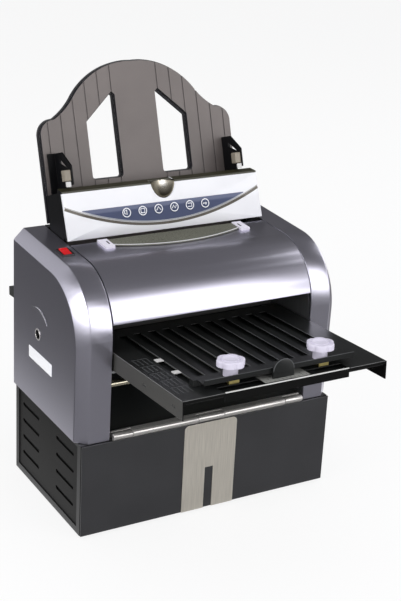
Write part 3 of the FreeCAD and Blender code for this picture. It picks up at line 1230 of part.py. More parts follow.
def build_hinge():
    """The long hinge: two leaves whose knuckles take turns on one pin."""
    axis = V(0, size("hingeAxis"), size("hingeHeight"))
    radius, wall = size("hingeRadius"), size("leafWall")
    bore, half = size("hingePinRadius") + size("fitGap"), size("hingeHalf")
    spans = knuckle_spans()
    fixed, moving = spans[1::2], spans[0::2]
    top, reach = axis.z + radius, size("leafReach")
    web = Part.makeBox(2 * half, wall, top - size("baseTop"),
                       V(-half, axis.y + reach - wall, size("baseTop")))
    clear = radius + size("leafGap")
    strip = Part.makeBox(2 * half, reach - clear, wall, V(-half, axis.y + clear, top - wall))
    leaf = web.fuse(strip)
    for start, end in fixed:
        leaf = leaf.fuse([shaft_rod(radius, start, end, axis),
                          Part.makeBox(end - start, reach, wall, V(start, axis.y, top - wall))])
    leaf = leaf.cut(shaft_rod(bore, -half - 1, half + 1, axis)).removeSplitter()
    node(shaped("leaf_fixed", leaf), "hinge_fixed_leaf")

    leaf_back = size("baseFront") + size("frontThick")
    leaf_top = axis.z - radius - size("frontGap")
    hanging = Part.makeBox(2 * half, wall, size("leafTall"), V(-half, leaf_back, leaf_top - size("leafTall")))
    for start, end in moving:
        tab = Part.makeBox(end - start, wall, axis.z - leaf_top + 1, V(start, leaf_back, leaf_top - 1))
        hanging = hanging.fuse([shaft_rod(radius, start, end, axis), tab])
    hanging = hanging.cut(shaft_rod(bore, -half - 1, half + 1, axis)).removeSplitter()
    node(shaped("leaf_moving", hanging), "hinge_flap_leaf")
    pin = shaft_rod(size("hingePinRadius"), -half, half, axis)
    node(shaped("pin", pin), "hinge_pin")


def build_front_flap():
    """The full-width front flap that swings up to catch folded sheets, and its pull plate."""
    top = "hingeHeight - hingeRadius - frontGap"
    flap = box("flap_plate", ("-bodyWidth / 2", "baseFront", "footHeight + frontGap"),
               ("bodyWidth", "frontThick", top + " - footHeight - frontGap"))
    node(flap, "front_flap")
    half, thick = size("pullHalf"), size("pullThick")
    low = size("footHeight") + size("frontGap")
    high = size("hingeHeight") - size("hingeRadius") - size("pullGap")
    plate = Part.makeBox(2 * half, thick, high - low, V(-half, size("baseFront") - thick, low))
    uprights = [e for e in plate.Edges if e.BoundBox.YLength > thick / 2 and e.BoundBox.ZMin > high - 1]
    plate = plate.makeFillet(size("pullRadius"), uprights)
    slot_half = size("pullSlotHalf")
    slot = Part.makeBox(2 * slot_half, thick + 2, size("pullSlotTall"),
                        V(-slot_half, size("baseFront") - thick - 1, low - 1))
    node(shaped("pull", plate.cut(slot)), "pull_plate")


# ---------------------------------------------------------------- build, test and write

for build in (build_base, build_side_panels, build_feet, build_inlet, build_side_covers,
              build_frame_plates, build_tie_rods, build_bushes, build_middle_cover, build_label_flap,
              build_flap_clips, build_hopper_panel, build_hopper_core, build_thumb_scoop,
              build_overlay, build_keys, build_hopper_sides, build_tray, build_side_guides,
              build_separator_blocks, build_switch, build_front_plate, build_front_stop, build_knobs,
              build_rear_plate, build_rear_stop, build_rollers_and_gears, build_paper_path,
              build_rear_covers, build_hinge, build_front_flap):
    build()
doc.recompute()

for item in doc.Objects:
    if "Invalid" in item.State or "Error" in item.State:
        raise RuntimeError(f"{item.Label} failed: {item.State}")
os.makedirs("parts", exist_ok=True)
for item in NODES:
    shape = item.Shape
    if shape.isNull() or not shape.isValid() or not shape.Solids:
        raise RuntimeError(f"{item.Label} is not a valid solid")
    shape.exportStep(f"parts/{item.Label}.step")
print(len(NODES), "nodes")
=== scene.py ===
import bpy
import bmesh
import json
import math
from mathutils import Matrix, Vector

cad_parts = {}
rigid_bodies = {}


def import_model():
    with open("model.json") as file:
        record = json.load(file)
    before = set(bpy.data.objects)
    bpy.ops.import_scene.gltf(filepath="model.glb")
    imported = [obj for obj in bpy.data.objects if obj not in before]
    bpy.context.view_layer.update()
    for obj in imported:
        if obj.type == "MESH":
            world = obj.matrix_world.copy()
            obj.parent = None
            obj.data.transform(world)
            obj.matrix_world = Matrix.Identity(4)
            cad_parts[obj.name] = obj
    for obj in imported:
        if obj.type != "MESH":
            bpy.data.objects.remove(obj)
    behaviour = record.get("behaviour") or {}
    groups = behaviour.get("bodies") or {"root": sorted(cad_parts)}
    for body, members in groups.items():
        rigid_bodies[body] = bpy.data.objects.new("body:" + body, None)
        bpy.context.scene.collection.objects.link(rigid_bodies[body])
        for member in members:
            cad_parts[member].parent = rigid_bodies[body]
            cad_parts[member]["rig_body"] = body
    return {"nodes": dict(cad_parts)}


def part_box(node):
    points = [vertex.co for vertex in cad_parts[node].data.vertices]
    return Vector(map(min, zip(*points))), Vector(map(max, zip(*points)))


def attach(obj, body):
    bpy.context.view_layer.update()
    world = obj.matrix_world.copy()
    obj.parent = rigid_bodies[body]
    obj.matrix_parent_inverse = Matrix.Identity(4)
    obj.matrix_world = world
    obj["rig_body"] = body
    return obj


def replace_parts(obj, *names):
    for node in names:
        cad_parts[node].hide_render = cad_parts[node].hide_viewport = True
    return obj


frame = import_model()
nodes = frame["nodes"]
scene = bpy.context.scene
scene.view_settings.view_transform = "Standard"
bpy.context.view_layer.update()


# ---- Studio: a pale sweep of floor, a white surround, soft panels of light and the camera.
# Grey boards behind it, above it and on the floor are seen only in its reflections.

def linked(item):
    """Puts an object into the scene."""
    scene.collection.objects.link(item)
    return item


def camera_at(place, yaw, pitch, roll, lens):
    """A camera that looks along a heading and downwards, tipped a little about its line of sight."""
    ahead = Vector((math.sin(yaw) * math.cos(pitch), math.cos(yaw) * math.cos(pitch), -math.sin(pitch)))
    level = Vector((math.cos(yaw), -math.sin(yaw), 0))
    up = level.cross(ahead)
    right = level * math.cos(roll) + up * math.sin(roll)
    above = up * math.cos(roll) - level * math.sin(roll)
    data = bpy.data.cameras.new("camera")
    data.sensor_fit = "VERTICAL"
    data.sensor_height = 24
    data.lens = lens
    data.clip_end = 50
    item = bpy.data.objects.new("camera", data)
    item.matrix_world = Matrix((right, above, -ahead)).transposed().to_4x4()
    item.location = place
    scene.camera = linked(item)


camera_lens = 24 * 1355.96 / 601  # millimetres
camera_at((-0.74165, -1.28160, 0.82131), math.radians(30.798), math.radians(21.425),
          math.radians(3.028), camera_lens)


def soft_panel(name, place, wide, tall, power):
    """A rectangular lamp that faces the middle of the machine."""
    data = bpy.data.lights.new(name, "AREA")
    data.shape = "RECTANGLE"
    data.size, data.size_y = wide, tall
    data.energy = power
    item = linked(bpy.data.objects.new(name, data))
    item.location = place
    item.rotation_euler = (Vector((0, 0, 0.22)) - Vector(place)).to_track_quat("-Z", "Y").to_euler()
    return item


soft_panel("panel_left", (-2.0, -0.50, 1.10), 1.5, 1.3, 22)
soft_panel("panel_front", (1.0, -2.35, 1.22), 2.8, 1.85, 32)
soft_panel("panel_above", (0.2, 0.3, 2.4), 2.2, 1.6, 12).visible_glossy = False
soft_panel("panel_right", (2.3, 0.3, 1.2), 1.0, 1.8, 9)


def seen_or_lit(tree, lit, seen, out):
    """Joins two shaders: one for the eye, mirrors and glass, the other for light that spreads."""
    path = tree.nodes.new("ShaderNodeLightPath")
    either = path.outputs["Is Camera Ray"]
    for kind in ("Is Glossy Ray", "Is Transmission Ray"):
        larger = tree.nodes.new("ShaderNodeMath")
        larger.operation = "MAXIMUM"
        tree.links.new(either, larger.inputs[0])
        tree.links.new(path.outputs[kind], larger.inputs[1])
        either = larger.outputs[0]
    mix = tree.nodes.new("ShaderNodeMixShader")
    tree.links.new(either, mix.inputs["Fac"])
    tree.links.new(lit, mix.inputs[1])
    tree.links.new(seen, mix.inputs[2])
    tree.links.new(mix.outputs[0], out)


world = bpy.data.worlds.new("studio")
scene.world = world
world.use_nodes = True
surround = world.node_tree.nodes["Background"]
surround.inputs["Color"].default_value = (0.95, 0.96, 1.0, 1)
surround.inputs["Strength"].default_value = 0.5
backdrop = world.node_tree.nodes.new("ShaderNodeBackground")
backdrop.inputs["Color"].default_value = (1, 1, 1, 1)
seen_or_lit(world.node_tree, surround.outputs[0], backdrop.outputs[0],
            world.node_tree.nodes["World Output"].inputs["Surface"])


def rectangle(left, right, front, back, up):
    """The corners of a level rectangle."""
    return [(left, front, up), (right, front, up), (right, back, up), (left, back, up)]


def board(name, corners):
    """A flat four-sided sheet."""
    mesh = bpy.data.meshes.new(name)
    mesh.from_pydata(corners, [], [(0, 1, 2, 3)])
    return linked(bpy.data.objects.new(name, mesh))


# The floor is mostly a white glow; the small share of its lit shade lets shadows show on it.
floor_half, glow_share = 6, 0.86
floor = board("floor", rectangle(-floor_half, floor_half, -floor_half, floor_half, 0))
floor_paint = bpy.data.materials.new("floor_paint")
floor_paint.use_nodes = True
floor_tree = floor_paint.node_tree
floor_shader = floor_tree.nodes["Principled BSDF"]
floor_shader.inputs["Base Color"].default_value = (0.95, 0.95, 0.95, 1)
floor_shader.inputs["Roughness"].default_value = 0.9
floor_shader.inputs["Specular IOR Level"].default_value = 0
floor_glow = floor_tree.nodes.new("ShaderNodeEmission")
floor_glow.inputs["Strength"].default_value = 1.0
floor_share = floor_tree.nodes.new("ShaderNodeMixShader")
floor_share.inputs["Fac"].default_value = glow_share
floor_tree.links.new(floor_shader.outputs[0], floor_share.inputs[1])
floor_tree.links.new(floor_glow.outputs[0], floor_share.inputs[2])
seen_or_lit(floor_tree, floor_shader.outputs[0], floor_share.outputs[0],
            floor_tree.nodes["Material Output"].inputs["Surface"])
floor.data.materials.append(floor_paint)


def reflected_board(name, corners, shade, far_shade=None, span=(0, 1)):
    """A board that shows only in glossy surfaces, its shade changing along x over a span."""
    item = board(name, corners)
    paint = bpy.data.materials.new(name + "_paint")
    paint.use_nodes = True
    tree = paint.node_tree
    glow = tree.nodes.new("ShaderNodeEmission")
    glow.inputs["Strength"].default_value = shade
    if far_shade is not None:
        coords = tree.nodes.new("ShaderNodeTexCoord")
        parts = tree.nodes.new("ShaderNodeSeparateXYZ")
        fade = tree.nodes.new("ShaderNodeMapRange")
        for label, value in zip(("From Min", "From Max", "To Min", "To Max"), (*span, shade, far_shade)):
            fade.inputs[label].default_value = value
        tree.links.new(coords.outputs["Object"], parts.inputs["Vector"])
        tree.links.new(parts.outputs["X"], fade.inputs["Value"])
        tree.links.new(fade.outputs["Result"], glow.inputs["Strength"])
    tree.links.new(glow.outputs[0], tree.nodes["Material Output"].inputs["Surface"])
    item.data.materials.append(paint)
    item.visible_camera = False
    item.visible_diffuse = False
    item.visible_shadow = False
    item.visible_transmission = False


near_floor, ceiling, far_side, boards_far = 0.0005, 2.6, 2.2, 2.4
beside_base, before_base, behind_base = -0.17, -0.08, 0.12
reflected_board("board_behind", [(-4, boards_far, 0), (4, boards_far, 0), (4, far_side, ceiling),
                                 (-4, far_side, ceiling)], 0.65, 0.10, (-0.9, -0.1))
reflected_board("board_above", rectangle(-4, 4, far_side, -2.7, ceiling), 0.12)
# A dark card just in front of the hopper shows only in reflections, so the lid mirrors a painted dark
# there in place of the white hopper.
card_half, card_low, card_high = 0.135, (0.0415, 0.3135), (0.0500, 0.3420)
reflected_board("card_behind_lid", [(-card_half, *card_low), (card_half, *card_low),
                                    (card_half, *card_high), (-card_half, *card_high)], 0.06)
reflected_board("board_front_floor", rectangle(-3, 3, -2.5, before_base, near_floor), 0.20)
reflected_board("board_left_floor", rectangle(-3, beside_base, before_base, boards_far, near_floor),
                0.75, 0.05, (-0.22, -0.34))
reflected_board("board_back_floor", rectangle(beside_base, 3, behind_base, boards_far, near_floor),
                0.15)


# ---- Base: a folded steel box in satin black paint, with a louvred panel set into each side.
# It stands on four moulded rubber feet, and the mains inlet is pressed into its rear wall.

def shader_nodes(name):
    """A new material with its node tree and shader at hand."""
    material = bpy.data.materials.new(name)
    material.use_nodes = True
    tree = material.node_tree
    return material, tree, tree.nodes["Principled BSDF"]


def noise(tree, scale, detail=3.0, stretch=(1, 1, 1)):
    """A noise pattern on the object's own coordinates, longer along an axis with a small stretch."""
    coords = tree.nodes.new("ShaderNodeTexCoord")
    mapping = tree.nodes.new("ShaderNodeMapping")
    mapping.inputs["Scale"].default_value = stretch
    pattern = tree.nodes.new("ShaderNodeTexNoise")
    pattern.inputs["Scale"].default_value = scale
    pattern.inputs["Detail"].default_value = detail
    tree.links.new(coords.outputs["Object"], mapping.inputs["Vector"])
    tree.links.new(mapping.outputs["Vector"], pattern.inputs["Vector"])
    return pattern.outputs["Fac"]


def shades(tree, pattern, colour, vary):
    """One colour made a little lighter and darker by a pattern."""
    item = tree.nodes.new("ShaderNodeValToRGB")
    item.color_ramp.elements[0].position = 0.3
    item.color_ramp.elements[1].position = 0.7
    item.color_ramp.elements[0].color = (*[c * (1 - vary) for c in colour], 1)
    item.color_ramp.elements[1].color = (*[min(1, c * (1 + vary)) for c in colour], 1)
    tree.links.new(pattern, item.inputs["Fac"])
    return item.outputs["Color"]


def spread(tree, pattern, low, high):
    """A number between two limits driven by a pattern."""
    item = tree.nodes.new("ShaderNodeMapRange")
    item.inputs["To Min"].default_value = low
    item.inputs["To Max"].default_value = high
    tree.links.new(pattern, item.inputs["Value"])
    return item.outputs["Result"]


def raised(tree, shader, pattern, height):
    """Lifts a pattern from the surface by a height in metres."""
    item = tree.nodes.new("ShaderNodeBump")
    item.inputs["Distance"].default_value = height
    tree.links.new(pattern, item.inputs["Height"])
    tree.links.new(item.outputs["Normal"], shader.inputs["Normal"])


def coated(name, colour, rough, vary=0.1, grain=1500, lift=0.00001, clear=0.0):
    """Paint or moulded plastic: slow mottling in the colour, uneven gloss and a fine raised grain."""
    material, tree, shader = shader_nodes(name)
    fine = noise(tree, grain)
    tree.links.new(shades(tree, noise(tree, 14, 4), colour, vary), shader.inputs["Base Color"])
    tree.links.new(spread(tree, fine, max(0.05, rough - 0.07), rough + 0.07), shader.inputs["Roughness"])
    shader.inputs["Coat Weight"].default_value = clear
    shader.inputs["Coat Roughness"].default_value = 0.12
    raised(tree, shader, fine, lift)
    return material


def dress(material, *names):
    """Gives CAD nodes a finish."""
    for name in names:
        nodes[name].data.materials.clear()
        nodes[name].data.materials.append(material)


def dulled(material, strength):
    """Sets how strongly a finish mirrors its surroundings, where 0.5 is usual."""
    material.node_tree.nodes["Principled BSDF"].inputs["Specular IOR Level"].default_value = strength


def plain(piece):
    """Applies a piece's modifiers, which leaves an ordinary mesh."""
    graph = bpy.context.evaluated_depsgraph_get()
    mesh = bpy.data.meshes.new_from_object(piece.evaluated_get(graph))
    piece.modifiers.clear()
    piece.data = mesh
    return piece


weld, fine_weld = 0.00001, 0.000001


def softened(name, width, material, segments=2, sharp=30):
    """Stands for a node with the same shape as one clean skin, its sharp edges rounded."""
    mesh = nodes[name].data.copy()
    skin = bmesh.new()
    skin.from_mesh(mesh)
    bmesh.ops.remove_doubles(skin, verts=skin.verts, dist=weld)
    bmesh.ops.dissolve_limit(skin, angle_limit=math.radians(1.5), verts=skin.verts, edges=skin.edges)
    skin.to_mesh(mesh)
    skin.free()
    mesh.materials.clear()
    mesh.materials.append(material)
    piece = linked(bpy.data.objects.new(name + "_skin", mesh))
    bevel = piece.modifiers.new("edges", "BEVEL")
    bevel.width = width
    bevel.segments = segments
    bevel.limit_method = "ANGLE"
    bevel.angle_limit = math.radians(sharp)
    bevel.harden_normals = True
    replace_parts(plain(piece), name)
    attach(piece, nodes[name]["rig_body"])
    return piece


satin_black = coated("satin_black_paint", (0.021, 0.021, 0.022), 0.42)
dress(satin_black, "base_housing")
panel_black = coated("side_panel_black", (0.008, 0.0078, 0.0075), 0.5)
dulled(panel_black, 0.16)
for side in ("left", "right"):
    softened("side_panel_" + side, 0.0005, panel_black)
dress(coated("foot_rubber", (0.018, 0.018, 0.018), 0.85, grain=700, lift=0.00004), "rubber_feet")
dress(coated("inlet_plastic", (0.02, 0.02, 0.021), 0.35, grain=1800), "mains_inlet")


# ---- Louvre shade: a sheet of black foam inside each side of the base, behind its louvred panel.
# It is a painted shade that keeps the louvre slots dark, and stands pressed against the wall.

def meshed(name, points, faces, material):
    """A new object from points and faces, its faces turned outwards."""
    mesh = bpy.data.meshes.new(name)
    mesh.from_pydata([tuple(p) for p in points], [], faces)
    skin = bmesh.new()
    skin.from_mesh(mesh)
    bmesh.ops.remove_doubles(skin, verts=skin.verts, dist=fine_weld)
    bmesh.ops.recalc_face_normals(skin, faces=skin.faces)
    skin.to_mesh(mesh)
    skin.free()
    mesh.materials.append(material)
    return linked(bpy.data.objects.new(name, mesh))


def fixed(piece, place, body, smooth=False):
    """Puts a finished piece in its place on a CAD body."""
    piece.data.transform(place)
    if place.determinant() < 0:
        piece.data.flip_normals()
    if smooth:
        piece.data.shade_smooth()
    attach(piece, body)


louvre_shade_foam = coated("louvre_painted_shade", (0.006, 0.006, 0.006), 0.95, grain=500, lift=0.0001)
shade_sheet_near, shade_sheet_far, shade_sheet_inset = 0.1592, 0.1608, 0.003
for side, sign in (("left", -1), ("right", 1)):
    low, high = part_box("side_panel_" + side)
    xs = (sign * shade_sheet_near, sign * shade_sheet_far)
    corners = [(x, y, z) for x in xs for y in (low.y + shade_sheet_inset, high.y - shade_sheet_inset)
               for z in (low.z + shade_sheet_inset, high.z - shade_sheet_inset)]
    sides = [(0, 1, 3, 2), (4, 5, 7, 6), (0, 1, 5, 4), (2, 3, 7, 6), (0, 2, 6, 4), (1, 3, 7, 5)]
    fixed(meshed("dust_filter_" + side, corners, sides, louvre_shade_foam), Matrix(), "machine")


# ---- Front flap: a full-width sheet steel door in satin black, hung on one long plated hinge.
# A brushed stainless pull plate with a finger slot is riveted to its middle.

def brushed(name, colour, rough, along, vary=0.1, lift=0.000003, metal=1.0):
    """Bright metal with fine brush lines that run along one axis."""
    material, tree, shader = shader_nodes(name)
    lines = noise(tree, 1400, 2, tuple(0.02 if axis == along else 1.0 for axis in "xyz"))
    tree.links.new(shades(tree, lines, colour, vary), shader.inputs["Base Color"])
    tree.links.new(spread(tree, lines, max(0.05, rough - 0.08), rough + 0.1), shader.inputs["Roughness"])
    shader.inputs["Metallic"].default_value = metal
    raised(tree, shader, lines, lift)
    return material


softened("front_flap", 0.0005, coated("flap_paint", (0.034, 0.034, 0.037), 0.36, clear=0.1))
pull_steel = brushed("pull_plate_steel", (0.66, 0.62, 0.55), 0.42, "z", vary=0.12, metal=0.6)
softened("pull_plate", 0.0003, pull_steel)
hinge_plating = brushed("hinge_plating", (0.66, 0.64, 0.62), 0.28, "x", vary=0.04, lift=0.000001,
                        metal=0.7)
for name in ("hinge_fixed_leaf", "hinge_flap_leaf"):
    softened(name, 0.00025, hinge_plating)
dress(hinge_plating, "hinge_pin")


# ---- Side covers: two moulded shells in silver metallic paint, with a slanted border all round.
# The left one has a plated bush for the hand crank, a raised turning mark and a bare white label.

def metallic_paint(name, colour, rough, metal, clear):
    """Paint with fine metal flakes under a clear coat."""
    material, tree, shader = shader_nodes(name)
    flakes = noise(tree, 2600, 2)
    tree.links.new(shades(tree, flakes, colour, 0.06), shader.inputs["Base Color"])
    tree.links.new(spread(tree, noise(tree, 6), rough - 0.03, rough + 0.03), shader.inputs["Roughness"])
    shader.inputs["Metallic"].default_value = metal
    shader.inputs["Coat Weight"].default_value = clear
    shader.inputs["Coat Roughness"].default_value = 0.1
    raised(tree, shader, flakes, 0.000003)
    return material


silver_paint = metallic_paint("silver_paint", (0.55, 0.537, 0.63), 0.29, 0.96, 0.12)
for side in ("left", "right"):
    softened("side_cover_" + side, 0.0012, silver_paint, segments=3, sharp=22)
cover_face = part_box("side_cover_left")[0].x


def ring_of_points(radius_at, height, steps):
    """Points round the z axis, each as far out as a rule says for its angle."""
    angles = [2 * math.pi * i / steps for i in range(steps)]
    return [(radius_at(a) * math.cos(a), radius_at(a) * math.sin(a), height) for a in angles]


def ring_faces(rings, steps):
    """The faces between each ring of points and the next."""
    faces = []
    for ring in range(rings - 1):
        for i in range(steps):
            a, b = ring * steps + i, ring * steps + (i + 1) % steps
            faces.append((a, b, b + steps, a + steps))
    return faces


def turned(name, outline, material, steps=64):
    """A body turned about the z axis from (radius, height) pairs, closed where the radius is nothing."""
    points = []
    for radius, height in outline:
        points += ring_of_points(lambda angle: radius, height, steps)
    return meshed(name, points, ring_faces(len(outline), steps), material)


def recoloured(piece, chosen, other):
    """Gives a second material to the faces that pass a test."""
    piece.data.materials.append(other)
    for face in piece.data.polygons:
        if chosen(face):
            face.material_index = len(piece.data.materials) - 1


side_view = Matrix(((0, 0, -1, 0), (-1, 0, 0, 0), (0, 1, 0, 0), (0, 0, 0, 1)))
crank_back, crank_up = 0.03922, 0.2088
crank_place = Matrix.Translation((cover_face, crank_back, crank_up)) @ side_view
bush_bore, bush_lip, bush_deep, bush_tall = 0.0055, 0.0071, 0.006, 0.0008
bush_wall, bush_round, lip_round = bush_bore + 0.0006, 0.0004, 0.0003
bush = turned("crank_bush", [(bush_bore, -bush_deep), (bush_bore, bush_round),
                             (bush_bore + bush_round, bush_tall), (bush_lip - bush_round, bush_tall),
                             (bush_lip, lip_round), (bush_lip, 0), (bush_wall, 0),
                             (bush_wall, -bush_deep), (bush_bore, -bush_deep)], hinge_plating)
# A near black painted shade for hollows: the crank bush's bore and the clips' slots.
hollow_painted_shade = coated("hollow_painted_shade", (0.01, 0.01, 0.011), 0.5)
bore_limit = bush_bore + 0.0001
# The bore's inner faces get the painted shade.
recoloured(bush, lambda face: math.hypot(face.center.x, face.center.y) < bore_limit, hollow_painted_shade)
fixed(bush, crank_place, "machine", smooth=True)


def bent_strip(name, path, wide, thick, material):
    """A thin strip in the xy plane along a path, raised along z; its width is one value or a list."""
    points, faces = [], []
    count = len(path)
    for i, (x, y) in enumerate(path):
        before, after = path[max(0, i - 1)], path[min(count - 1, i + 1)]
        along = Vector((after[0] - before[0], after[1] - before[1])).normalized()
        half = wide[i] / 2 if isinstance(wide, list) else wide / 2
        for side, up in ((-1, 0), (-1, thick), (1, thick), (1, 0)):
            points.append((x - side * half * along.y, y + side * half * along.x, up))
        if i:
            a, b = 4 * i - 4, 4 * i
            faces += [(a + j, a + (j + 1) % 4, b + (j + 1) % 4, b + j) for j in range(4)]
    faces += [(0, 1, 2, 3), (4 * count - 4, 4 * count - 3, 4 * count - 2, 4 * count - 1)]
    return meshed(name, points, faces, material)


mark_radius, mark_start, mark_end, mark_steps = 0.032, 38, 118, 28
mark_thin, mark_swell, mark_lean, mark_thick = 0.0003, 0.0017, 0.6, 0.0004
mark_path, mark_wide = [], []
for i in range(mark_steps + 1):
    share = i / mark_steps
    angle = math.radians(mark_start + (mark_end - mark_start) * share)
    mark_path.append((mark_radius * math.cos(angle), mark_radius * math.sin(angle)))
    mark_wide.append(mark_thin + mark_swell * math.sin(math.pi * share ** mark_lean) ** 2)
mark_silver = metallic_paint("mark_silver", (0.85, 0.85, 0.88), 0.2, 0.6, 0.4)
mark = bent_strip("turning_mark", mark_path, mark_wide, mark_thick, mark_silver)
fixed(mark, crank_place, "machine")


def rounded_sheet(name, wide, tall, corner, thick, material, steps=6):
    """A thin sheet with round corners about the origin, x across and y up, raised along z."""
    outline = []
    for quarter, (sx, sy) in enumerate(((1, 1), (-1, 1), (-1, -1), (1, -1))):
        for i in range(steps + 1):
            angle = math.pi / 2 * (quarter + i / steps)
            outline.append((sx * (wide / 2 - corner) + corner * math.cos(angle),
                            sy * (tall / 2 - corner) + corner * math.sin(angle)))
    return cut_sheet(name, outline, thick, material)


def cut_sheet(name, outline, thick, material):
    """A thin sheet of any outline in the xy plane, raised along z."""
    count = len(outline)
    points = [(x, y, 0) for x, y in outline] + [(x, y, thick) for x, y in outline]
    faces = [tuple(range(count)), tuple(range(count, 2 * count))]
    faces += [(i, (i + 1) % count, count + (i + 1) % count, count + i) for i in range(count)]
    return meshed(name, points, faces, material)


label_paper = coated("label_paper", (0.93, 0.93, 0.95), 0.45, vary=0.03, grain=900, lift=0.000004)
label_back, label_up, label_wide, label_tall = 0.0320, 0.1790, 0.0650, 0.0148
label_corner, label_thick = 0.0008, 0.0002
label = rounded_sheet("bare_label", label_wide, label_tall, label_corner, label_thick, label_paper)
label_place = Matrix.Translation((cover_face, label_back, label_up)) @ side_view
fixed(label, label_place, "machine")


# ---- Rocker switch: a red rocker that tilts in a snap-in black bezel, on top of the left cover.
# Both are gloss mouldings, with their edges slightly rounded.

softened("switch_bezel", 0.0005, coated("bezel_black", (0.012, 0.012, 0.013), 0.3, lift=0.000004))
rocker_red = coated("rocker_red", (0.64, 0.006, 0.010), 0.25, vary=0.05, lift=0.000003, clear=0.15)
softened("switch_rocker", 0.0005, rocker_red)


# ---- Middle cover: one curved moulding in the same silver paint, over the fold rollers.
# It pivots at its rear edge; the smoked flap on it is bare and is held by two white clips.

softened("middle_cover", 0.0008, silver_paint, segments=3, sharp=40)
smoked = coated("smoked_plate", (0.15, 0.15, 0.12), 0.28, vary=0.10, grain=1200, lift=0.000004,
                clear=0.3)
softened("label_flap", 0.0003, smoked)
clip_white = coated("clip_white", (0.80, 0.77, 0.86), 0.35, vary=0.03, lift=0.000006)
softened("flap_clips", 0.0008, clip_white, segments=3)



def arch(half, steps, height_at):
    """A path from the left to the right of the middle, as high at each place as a rule says."""
    return [(x, height_at(x)) for x in (half * (2 * i / steps - 1) for i in range(steps + 1))]


lid_place = Matrix.Translation((0, 0.04082, 0.31080)) @ Matrix.Rotation(math.radians(2.2), 4, "X")
flap_half, flap_end, flap_deep, flap_top = 0.083, 0.0187, 0.0352, 0.0021
rim_wide, rim_high, rim_steps = 0.0013, 0.0003, 48
rim_path = arch(flap_half, rim_steps, lambda across: (
    -flap_deep + (flap_deep - flap_end) * (across / flap_half) ** 2 + rim_wide / 2))
rim_white = coated("flap_rim", (0.78, 0.78, 0.80), 0.3, vary=0.03)
rim = bent_strip("flap_rim", rim_path, rim_wide, rim_high, rim_white)
fixed(rim, lid_place @ Matrix.Translation((0, 0, flap_top)), "label_flap_leaf")

clip_across, clip_back, clip_up = 0.0875, -0.0125, 0.003
slit_wide, slit_tall, slit_corner, slit_thick = 0.0016, 0.0085, 0.0006, 0.0002
# Each clip's slot is a thin sheet of painted shade, near black.
for side, sign in (("left", -1), ("right", 1)):
    slit = rounded_sheet("clip_slot_" + side, slit_wide, slit_tall, slit_corner, slit_thick, hollow_painted_shade)
    slit_place = lid_place @ Matrix.Translation((sign * clip_across, clip_back, clip_up))
    fixed(slit, slit_place, "lid")


# ---- Hopper front: a white moulded skin on a dark wall, with a dished bronze scoop for the thumb that has a painted highlight.
# A bronze stripe and a thin pale one arch across the skin; two black side walls run back from it.

hopper_white = coated("hopper_white", (0.84, 0.84, 0.87), 0.36, vary=0.02, lift=0.000005)
softened("hopper_panel", 0.0006, hopper_white)
core_dark = coated("hopper_wall_dark", (0.028, 0.026, 0.012), 0.42, grain=1200)
black_sheet = coated("black_sheet", (0.003, 0.003, 0.004), 0.5, grain=1300)
recoloured(softened("hopper_core", 0.0006, core_dark), lambda face: face.normal.x < -0.9, black_sheet)
dress(black_sheet, "hopper_sides")
panel_lean, lean_slope = math.radians(22), 0.404  # the front's slant, and the tangent of it
panel_place = Matrix.Translation((0, 0.04382, 0.31460)) @ Matrix.Rotation(-panel_lean, 4, "X")
upright = Matrix.Rotation(math.radians(90), 4, "X")


def block(name, wide, deep, tall, edge, material):
    """A small block on its base at the origin, with its edges cut at a slant."""
    points, faces = [], []
    for inset, up in ((0, 0), (0, tall - edge), (edge, tall)):
        for sx, sy in ((-1, -1), (1, -1), (1, 1), (-1, 1)):
            points.append((sx * (wide / 2 - inset), sy * (deep / 2 - inset), up))
    for ring in (0, 4):
        faces += [(ring + i, ring + (i + 1) % 4, ring + 4 + (i + 1) % 4, ring + 4 + i) for i in range(4)]
    return meshed(name, points, faces + [(0, 1, 2, 3), (8, 9, 10, 11)], material)


def thickened(piece, thick):
    """Gives an open skin a thickness."""
    piece.modifiers.new("thickness", "SOLIDIFY").thickness = thick
    return plain(piece)


def highlighted_bronze(name, highlight_at, reach):
    """Bronze plating with a painted highlight: near white about one place, shading to dark towards its
    edges.
    """
    material, tree, shader = shader_nodes(name)
    place = tree.nodes.new("ShaderNodeTexCoord")
    gap = tree.nodes.new("ShaderNodeVectorMath")
    gap.operation = "DISTANCE"
    tree.links.new(place.outputs["Object"], gap.inputs[0])
    gap.inputs[1].default_value = highlight_at
    ramp = tree.nodes.new("ShaderNodeValToRGB")
    ramp.color_ramp.elements[0].color = (1.0, 0.98, 0.94, 1)
    ramp.color_ramp.elements[1].color = (0.075, 0.066, 0.045, 1)
    middle = ramp.color_ramp.elements.new(0.45)
    middle.color = (0.42, 0.385, 0.32, 1)
    share = tree.nodes.new("ShaderNodeMapRange")
    share.inputs["From Max"].default_value = reach
    tree.links.new(gap.outputs["Value"], share.inputs["Value"])
    tree.links.new(share.outputs["Result"], ramp.inputs["Fac"])
    tree.links.new(ramp.outputs["Color"], shader.inputs["Base Color"])
    shader.inputs["Metallic"].default_value = 0.85
    raised(tree, shader, noise(tree, 1800, 2), 0.000002)
    shader.inputs["Roughness"].default_value = 0.26
    return material


scoop_half, scoop_tall, scoop_deep, scoop_top = 0.0155, 0.0185, 0.0060, 0.0560
scoop_rings, scoop_steps, scoop_skin, scoop_back = 12, 40, 0.0006, 0.0004
